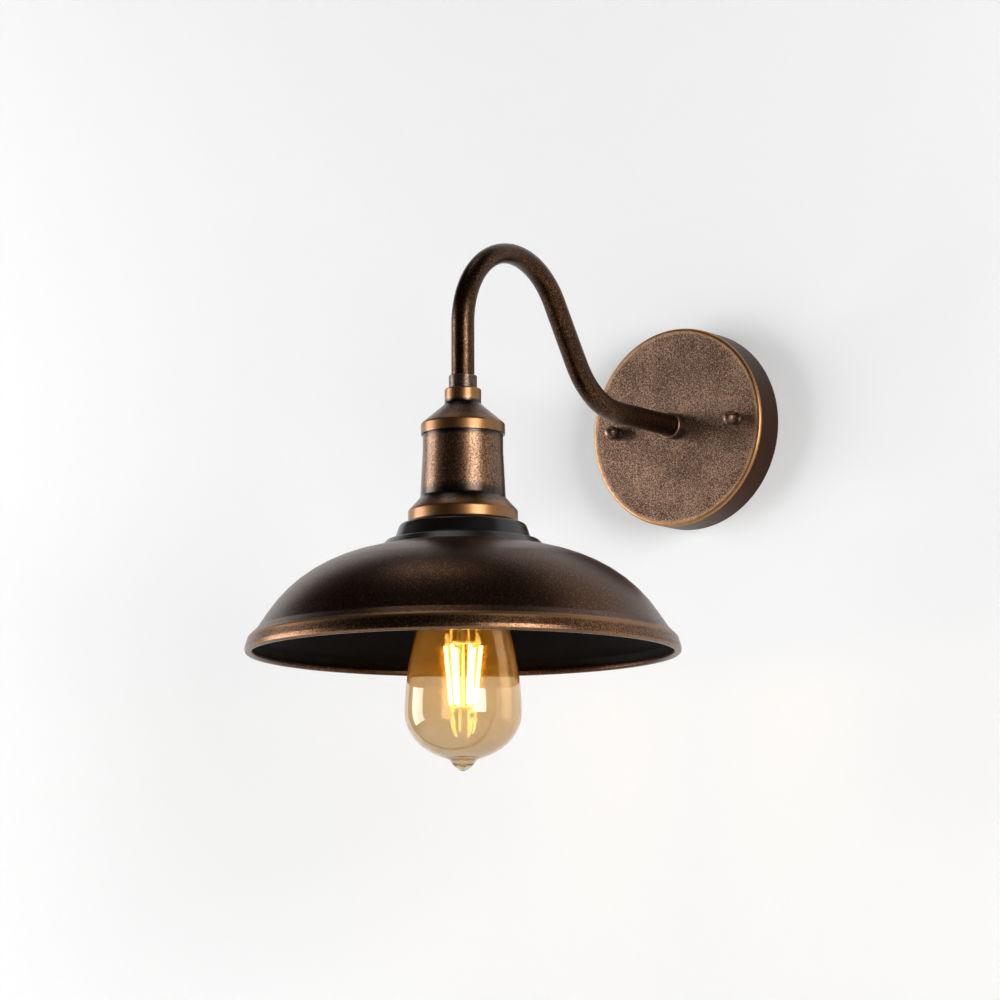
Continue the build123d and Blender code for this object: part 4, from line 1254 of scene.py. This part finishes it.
@dataclass
class DomeShade:
    """Spun shade: black crown and step, brown dome, rubbed ridge and rolled rim."""

    top: float = -84.0
    hole_radius: float = 20.2
    wall: float = 1.0
    crown_radius: float = 34.6
    crown_foot: float = 37.5
    crown_height: float = 8.8
    crown_edge: float = 3.0
    step_radius: float = 42.0
    step_foot: float = 45.6
    step_fall: float = 0.7
    step_height: float = 3.8
    step_edge: float = 1.6
    root_bend: float = 1.0
    dome_height: float = 45.3
    shoulder: Corner = Corner(65.3, -4.3, 92.0)
    flank: Corner = Corner(95.2, -19.4, 80.0)
    foot_radius: float = 112.5
    foot_bend: float = 0.8
    ridge_radius: float = 117.4
    ridge_drop: float = 4.7
    ridge_edge: float = 1.3
    rim_radius: float = 119.0
    rim_height: float = 8.5
    roll_width: float = 3.9
    roll_height: float = 3.2
    roll_bend: float = 1.7
    segments: int = 256
    outline_step: float = 1.2
    outline_turn: float = 6.0
    finish: RubbedBronze = RubbedBronze(
        "rubbed_bronze_shade",
        patina="#442c1c",
        flake="#84644c",
        lacquer_and_shade="#0b0908",
        rubbed="#8e643a",
        patina_metal=1.0,
        flake_share=0.08,
        flake_gain=0.6,
        cloud=60.0,
        roughness=0.33,
        coat=0.0,
    )
    lining: MouldedPlastic = MouldedPlastic(
        "black_lining_lacquer", "#0b0705", "#070403", roughness=0.6, gloss=0.06, texture=1.0, cloud=40.0
    )

    def shell(self) -> Piece:
        """Turns the whole shade, with its finish outside and a plain black lining inside.

        Returns:
            The shade.
        """
        crown = self.top - self.crown_height
        step = crown - self.step_fall - self.step_height
        foot = step - self.dome_height
        ridge = foot - self.ridge_drop
        rim = ridge - self.rim_height
        roll_top = rim + self.roll_height
        roll_in = self.rim_radius - self.roll_width
        corners = [
            Corner(self.hole_radius, self.top),
            Corner(self.crown_radius, self.top, self.crown_edge),
            Corner(self.crown_foot, crown, self.root_bend),
            Corner(self.step_radius, crown - self.step_fall, self.step_edge),
            Corner(self.step_foot, step, self.root_bend),
            Corner(self.shoulder.radius, step + self.shoulder.level, self.shoulder.bend),
            Corner(self.flank.radius, step + self.flank.level, self.flank.bend),
            Corner(self.foot_radius, foot, self.foot_bend),
            Corner(self.ridge_radius, ridge, self.ridge_edge),
            Corner(self.rim_radius, roll_top, self.ridge_edge),
            Corner(self.rim_radius, rim, self.roll_bend),
            Corner(roll_in, rim, self.roll_bend),
            Corner(roll_in, roll_top),
        ]
        wear_and_shade = [
            WearAndShade(self.crown_radius - 4.0, self.top - 2.0, 16.0, -2.4),
            WearAndShade(self.step_radius, crown - 2.0, 6.5, -1.8),
            WearAndShade(self.ridge_radius, ridge + 0.4, 2.4, 0.8),
            WearAndShade(self.rim_radius, rim + 2.0, 3.0, 0.14, self.rim_height - 3.0),
            WearAndShade(self.rim_radius, rim + 0.6, 1.5, 0.4),
        ]
        outer = outline(corners, self.outline_step, self.outline_turn)
        loop = walled(outer, self.wall)
        return turned("dome_shade", loop, Axle.LAMP, self.segments, wear_and_shade, lined_from=len(outer) - 2)

    def build(self) -> None:
        """Builds and dresses the shade."""
        dressed(self.shell(), self.finish, Body.FIXED, ["shade"], self.lining)


@dataclass
class FilamentBulb:
    """Clear amber bulb with a drawn tip, its glass stem, support wires and six lit filaments."""

    top: float = -79.4
    length: float = 140.0
    cap_bottom: float = -105.4
    neck_radius: float = 13.1
    spigot_radius: float = 11.7
    spigot_height: float = 6.0
    cap_gap: float = 0.1
    shoulder: Point = (25.2, 62.5)
    flank: Point = (30.5, 88.0)
    radius: float = 32.0
    widest: float = -187.1
    bowl_height: float = 26.5
    tip_radius: float = 2.2
    tip_root: float = 9.0
    tip_wall: float = 1.4
    wall: float = 0.8
    stem_radius: float = 3.0
    stem_bottom: float = -149.4
    stem_edge: float = 0.9
    flare_gap: float = 0.1
    flare_drop: float = 1.0
    flare_height: float = 11.0
    flare_bore: float = 1.8
    filament_count: int = 6
    filament_radius: float = 0.95
    filament_top: float = -151.2
    filament_bottom: float = -183.5
    top_circle: float = 9.8
    bottom_circle: float = 6.6
    glass_segments: int = 128
    stem_segments: int = 64
    stem_step: float = 2.0
    rod_segments: int = 20
    side_steps: int = 14
    bowl_steps: int = 26
    tip_steps: int = 8
    flare_steps: int = 16
    cap_steps: int = 5
    glass: BlownGlass = BlownGlass(
        "blown_glass_amber", tint="#e5dfc8", film="#f2ab20", film_share=0.011, haze_share=0.11
    )
    clear: BlownGlass = BlownGlass("drawn_glass_stem", tint="#f4f1ea", film="#ffffff")
    phosphor: LitPhosphor = LitPhosphor("lit_phosphor_filament")

    def envelope(self) -> Piece:
        """Blows the glass, as an outer and an inner skin.

        Returns:
            The glass.
        """
        tip = self.top - self.length
        neck = [
            (self.spigot_radius, self.cap_bottom + self.spigot_height),
            (self.spigot_radius, self.cap_bottom - self.cap_gap),
            (self.neck_radius, self.cap_bottom - self.cap_gap),
        ]
        bulge = [(radius, self.top - depth) for radius, depth in (self.shoulder, self.flank)]
        passed = [neck[-1], *bulge, (self.radius, self.widest)]
        side = flowing(passed, (0.0, -1.0), (0.0, -1.0), self.side_steps)
        sweep = math.acos(self.tip_root / self.radius)

        def bowl(inset: float) -> list[Point]:
            """Outline of the bowl from its widest place down to the tip's root.

            Args:
                inset: distance inside the outer skin, in mm.

            Returns:
                Its points.
            """
            made = []
            for i in range(self.bowl_steps + 1):
                angle = sweep * i / self.bowl_steps
                drop = (self.bowl_height - inset) * math.sin(angle)
                made.append(((self.radius - inset) * math.cos(angle), self.widest - drop))
            return made

        outer_bowl, inner_bowl = bowl(0.0)[1:], bowl(self.wall)[::-1]
        before, root = outer_bowl[-2:]
        run = (root[0] - before[0], root[1] - before[1])
        drawn = flowing(
            [root, (2.0 * self.tip_radius, tip + self.tip_radius), (0.0, tip)], run, (-1.0, 0.0), self.tip_steps
        )
        thinned = inner_bowl[0][0] / drawn[0][0]
        inner_tip = [
            (radius * thinned, level + self.wall + self.tip_wall * (1.0 - radius / drawn[0][0]))
            for radius, level in drawn[:0:-1]
        ]
        inner_side = [(radius - self.wall, level) for radius, level in side[::-1]]
        throat = [
            (self.spigot_radius - self.wall, self.cap_bottom - self.wall),
            (self.spigot_radius - self.wall, self.cap_bottom + self.spigot_height),
        ]
        inner = inner_tip + inner_bowl + inner_side[1:-1] + throat
        outer = neck + side[1:] + outer_bowl + drawn[1:-1] + [(0.0, drawn[-1][1])]
        return turned("bulb_envelope", outer[::-1] + inner[::-1], Axle.LAMP, self.glass_segments)

    def stem(self) -> Piece:
        """Draws the stem: a flare sealed in the neck and a solid rod below it.

        Returns:
            The stem.
        """
        flare_top = self.cap_bottom + self.spigot_height - self.flare_drop
        flare_bottom = flare_top - self.flare_height
        flare_radius = self.spigot_radius - self.wall - self.flare_gap
        flare_lip, flare_root = (flare_radius, flare_top - 1.0), (self.stem_radius, flare_bottom)
        outer = flowing([flare_lip, flare_root], (-1.0, 0.0), (0.0, -1.0), self.flare_steps)
        corners = [
            Corner(self.stem_radius, flare_bottom),
            Corner(self.stem_radius, self.stem_bottom, self.stem_edge),
            Corner(0.0, self.stem_bottom),
        ]
        mouth = [(self.flare_bore, flare_bottom), (flare_radius, flare_top)]
        inner = flowing(mouth, (0.0, 1.0), (1.0, 0.0), self.flare_steps)
        loop = [(0.0, flare_bottom - 1.0)] + inner + outer + outline(corners, self.stem_step)[1:]
        return turned("bulb_stem_glass", loop, Axle.LAMP, self.stem_segments)

    def filament_line(self, index: int) -> tuple[Vector, Vector]:
        """Centre line of one filament.

        Args:
            index: number of the filament.

        Returns:
            Its upper and its lower end, in mm.
        """
        angle = FULL_TURN * (index + 0.5) / self.filament_count
        out = Vector((math.cos(angle), math.sin(angle), 0.0))
        axis = Vector(Axle.LAMP.value)
        return (
            axis + out * self.top_circle + Vector((0.0, 0.0, self.filament_top)),
            axis + out * self.bottom_circle + Vector((0.0, 0.0, self.filament_bottom)),
        )

    def filaments(self) -> Piece:
        """Makes the six rods, with rounded ends.

        Returns:
            The rods as one piece.
        """
        verts: Ring = []
        faces: list[Face] = []
        parts = [math.pi / 2.0 * k / self.cap_steps for k in range(self.cap_steps + 1)]
        for index in range(self.filament_count):
            high, low = self.filament_line(index)
            run = (low - high).normalized()
            side = run.orthogonal().normalized()
            other = run.cross(side)
            rows = []
            for end, inward, part in [(high, run, p) for p in parts] + [(low, -run, p) for p in parts[::-1]]:
                centre = end + inward * (self.filament_radius * (1.0 - math.cos(part)))
                reach = self.filament_radius * math.sin(part)
                rows.append(add_ring(verts, centre, side * reach, other * reach, self.rod_segments))
            faces += skin(rows)
        return metalwork("filament_rods", verts, faces, [0.0] * len(verts))

    def build(self) -> None:
        """Builds and dresses the glass, the stem and the filaments."""
        dressed(self.envelope(), self.glass, Body.BULB, ["bulb_glass"])
        dressed(self.stem(), self.clear, Body.BULB, ["bulb_stem"])
        dressed(self.filaments(), self.phosphor, Body.BULB, ["filaments"])


@dataclass
class HiddenWorks:
    """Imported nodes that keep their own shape: bracket, nipples, wires, lampholder and the bulb's cap."""

    worn: tuple[tuple[Finish, tuple[str, ...]], ...] = (
        (PlatedMetal("zinc_plated_steel", "#b9bcc0", "#8d9094"), (
            "arm_base_nipple", "arm_lock_nut", "arm_lock_washer", "cap_lock_nut", "canopy_studs", "cup_nipple",
            "holder_set_screw", "mounting_bracket", "stud_lock_nuts", "terminal_screws",
        )),
        (PlatedMetal("tinned_copper", "#c9c6bd", "#9a968c", roughness=0.38), ("arm_earth_tag", "ground_lug")),
        (PlatedMetal("green_zinc_screw", "#3f8a55", "#2b6a3e", roughness=0.35), ("ground_screw",)),
        (PlatedMetal("turned_brass", "#c8a45a", "#9a7a3c", roughness=0.28), (
            "bulb_cap", "bulb_eyelet", "centre_contact", "contact_rivets", "screw_shell", "terminal_pillars",
        )),
        (PlatedMetal("nickel_wire", "#bdb4a6", "#8f877b", roughness=0.3), ("filament_frame",)),
        (MouldedPlastic("black_phenolic", "#1d1b1a", "#121110", roughness=0.38), (
            "holder_dome", "holder_skirt", "shade_ring",
        )),
        (MouldedPlastic("black_nylon", "#262524", "#1a1918", roughness=0.5), ("nipple_bushing", "wire_bushing")),
        (MouldedPlastic("orange_connector", "#d8742a", "#b85c1c", roughness=0.42), ("wire_connectors",)),
        (MouldedPlastic("black_insulation", "#1a1a1a", "#101010", roughness=0.4), ("live_wire",)),
        (MouldedPlastic("white_insulation", "#e3e1dc", "#c9c6bf", roughness=0.4), ("neutral_wire",)),
        (MouldedPlastic("green_insulation", "#2f8a48", "#1f6a34", roughness=0.4), ("earth_wire",)),
        (MouldedPlastic("green_circuit_board", "#1f6b45", "#154d31", roughness=0.35), ("bulb_driver",)),
        (MouldedPlastic("black_cap_glass", "#17171b", "#0c0c10", roughness=0.12), ("bulb_insulator",)),
        (GlazedPorcelain("glazed_porcelain"), ("holder_insert",)),
    )

    def build(self) -> None:
        """Dresses every node."""
        for finish, names in self.worn:
            material = finish.material()
            for name in names:
                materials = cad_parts[name].data.materials
                materials.clear()
                materials.append(material)
                LOG.info("%s wears %s", name, finish.name)


# Studio


@dataclass(frozen=True)
class SoftBox:
    """A square studio lamp that looks at the lamp axis, placed by its direction from there.

    An azimuth of 0 is straight out from the wall, and a positive one is to the right. Sizes are in mm.
    """

    name: str
    azimuth: float
    elevation: float
    distance: float
    width: float
    height: float
    radiance: float
    target: tuple[float, float, float] = (0.0, -ARM_REACH, -60.0)

    def build(self) -> None:
        """Hangs the lamp."""
        lamp = bpy.data.lights.new(self.name, "AREA")
        lamp.shape = "RECTANGLE"
        lamp.size = self.width * MM
        lamp.size_y = self.height * MM
        lamp.energy = self.radiance * WATTS_PER_RADIANCE * lamp.size * lamp.size_y
        turn, rise = math.radians(self.azimuth), math.radians(self.elevation)
        out = Vector((math.sin(turn) * math.cos(rise), -math.cos(turn) * math.cos(rise), math.sin(rise)))
        holder = placed(self.name, lamp)
        holder.location = (Vector(self.target) + out * self.distance) * MM
        holder.rotation_mode = "QUATERNION"
        holder.rotation_quaternion = (-out).to_track_quat("-Z", "Y")


@dataclass
class Studio:
    """Pale wall and floor, a dim room round them, the lamps and the camera. Lengths are in mm."""

    wall_left: float = 1300.0
    wall_right: float = 900.0
    wall_top: float = 500.0
    wall_bottom: float = -800.0
    canopy_hole: float = 58.0
    hole_sides: int = 96
    room_half: float = 2600.0
    room_top: float = 2200.0
    room_depth: float = 3400.0
    floor_level: float = -1300.0
    back_gap: float = 15.0
    azimuth: float = 36.35
    elevation: float = -8.83
    roll: float = -0.15
    focal_pixels: float = 3531.6
    frame_pixels: float = 1000.0
    sensor: float = 36.0
    clip_from: float = 50.0
    clip_to: float = 50000.0
    camera_place: tuple[float, float, float] = (1152.2, -1763.4, -368.3)
    outside: str = "#f7f7f7"
    wall_paint: StudioPaint = StudioPaint("matt_wall_paint", "#f7f7f7", lift=0.2, one_sided=True)
    floor_paint: StudioPaint = StudioPaint("matt_floor_paint", "#f4f4f4", lift=0.3)
    room_paint: StudioPaint = StudioPaint("dim_room_paint", "#3a3a3a", hidden=True)
    boxes: tuple[SoftBox, ...] = (
        SoftBox("soft_box_left", -66.0, -2.0, 2000.0, 1150.0, 1550.0, 5.5),
        SoftBox("soft_box_right", 69.0, 4.0, 2000.0, 920.0, 1200.0, 9.8),
        SoftBox("soft_box_top", 216.0, 76.0, 2100.0, 1500.0, 900.0, 1.3),
    )

    def painted(self, name: str, verts: Sequence[Vector], faces: Sequence[Face], paint: StudioPaint) -> Piece:
        """Puts up one painted part of the studio.

        Args:
            name: its name.
            verts: its corners, in mm.
            faces: corner numbers of each face.
            paint: its paint.

        Returns:
            The part.
        """
        part = placed(name, drawn_mesh(name, verts, faces))
        part.data.materials.append(paint.material())
        return part

    def wall(self) -> Piece:
        """Plasters the wall, with the hole of the wall box behind the canopy.

        Returns:
            The wall.
        """
        verts: Ring = []
        for i in range(self.hole_sides):
            angle = FULL_TURN * (i + 0.5) / self.hole_sides
            out = Vector((math.cos(angle), 0.0, math.sin(angle)))
            reach = min(
                (self.wall_right if out.x > 0.0 else self.wall_left) / max(abs(out.x), TINY),
                (self.wall_top if out.z > 0.0 else -self.wall_bottom) / max(abs(out.z), TINY),
            )
            verts += [out * self.canopy_hole, out * reach]
        count = len(verts)
        faces = [(i, (i + 2) % count, (i + 3) % count, i + 1) for i in range(0, count, 2)]
        wall = self.painted("studio_wall", verts, faces, self.wall_paint)
        for polygon in wall.data.polygons:
            if polygon.normal.y > 0.0:
                polygon.flip()
        return wall

    def room(self) -> list[Piece]:
        """Builds the floor and the dim sides of the room.

        Returns:
            The sides.
        """
        w, d, low, high, back = self.room_half, self.room_depth, self.floor_level, self.room_top, self.back_gap
        sides = {
            "studio_floor": [(-w, -d, low), (w, -d, low), (w, d, low), (-w, d, low)],
            "studio_ceiling": [(-w, -d, high), (w, -d, high), (w, back, high), (-w, back, high)],
            "studio_far_side": [(-w, -d, low), (w, -d, low), (w, -d, high), (-w, -d, high)],
            "studio_wall_side": [(-w, back, low), (w, back, low), (w, back, high), (-w, back, high)],
            "studio_left_side": [(-w, -d, low), (-w, back, low), (-w, back, high), (-w, -d, high)],
            "studio_right_side": [(w, -d, low), (w, back, low), (w, back, high), (w, -d, high)],
        }
        made = []
        for name, corners in sides.items():
            paint = self.floor_paint if name == "studio_floor" else self.room_paint
            made.append(self.painted(name, [Vector(c) for c in corners], [(0, 1, 2, 3)], paint))
        return made

    def world(self) -> None:
        """Fills the space outside the room with a pale even light."""
        world = bpy.data.worlds.new("studio_world")
        world.use_nodes = True
        world.node_tree.nodes.clear()
        light = add_node(world.node_tree, "Background", {"Color": linear(self.outside)}).outputs[0]
        add_node(world.node_tree, "OutputWorld", links={"Surface": light})
        bpy.context.scene.world = world

    def camera(self) -> None:
        """Sets up the camera at the photograph's viewing angle."""
        data = bpy.data.cameras.new("studio_camera")
        data.sensor_width = self.sensor
        data.lens = self.focal_pixels / self.frame_pixels * self.sensor
        data.clip_start = self.clip_from * MM
        data.clip_end = self.clip_to * MM
        azimuth, elevation, roll = (math.radians(a) for a in (self.azimuth, self.elevation, self.roll))
        level = math.cos(elevation)
        back = Vector((math.sin(azimuth) * level, -math.cos(azimuth) * level, math.sin(elevation)))
        right = Vector((math.cos(azimuth), math.sin(azimuth), 0.0))
        up = back.cross(right)
        rolled_right = right * math.cos(roll) + up * math.sin(roll)
        rolled_up = up * math.cos(roll) - right * math.sin(roll)
        turn = Matrix((rolled_right, rolled_up, back)).transposed()
        camera = placed("studio_camera", data)
        camera.matrix_world = Matrix.Translation(Vector(self.camera_place) * MM) @ turn.to_4x4()
        bpy.context.scene.camera = camera

    def build(self) -> None:
        """Builds the whole studio."""
        self.wall()
        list(self.room())
        self.world()
        for box in self.boxes:
            box.build()
        self.camera()
        bpy.context.scene.view_settings.view_transform = "Standard"


def main() -> None:
    """Builds the studio and the sconce."""
    logging.basicConfig(level=logging.INFO, format="%(name)s: %(message)s")
    for assembly in (Studio(), Canopy(), Gooseneck(), SocketCup(), DomeShade(), FilamentBulb(), HiddenWorks()):
        LOG.info("building %s", type(assembly).__name__)
        assembly.build()


if __name__ == "__main__":
    main()
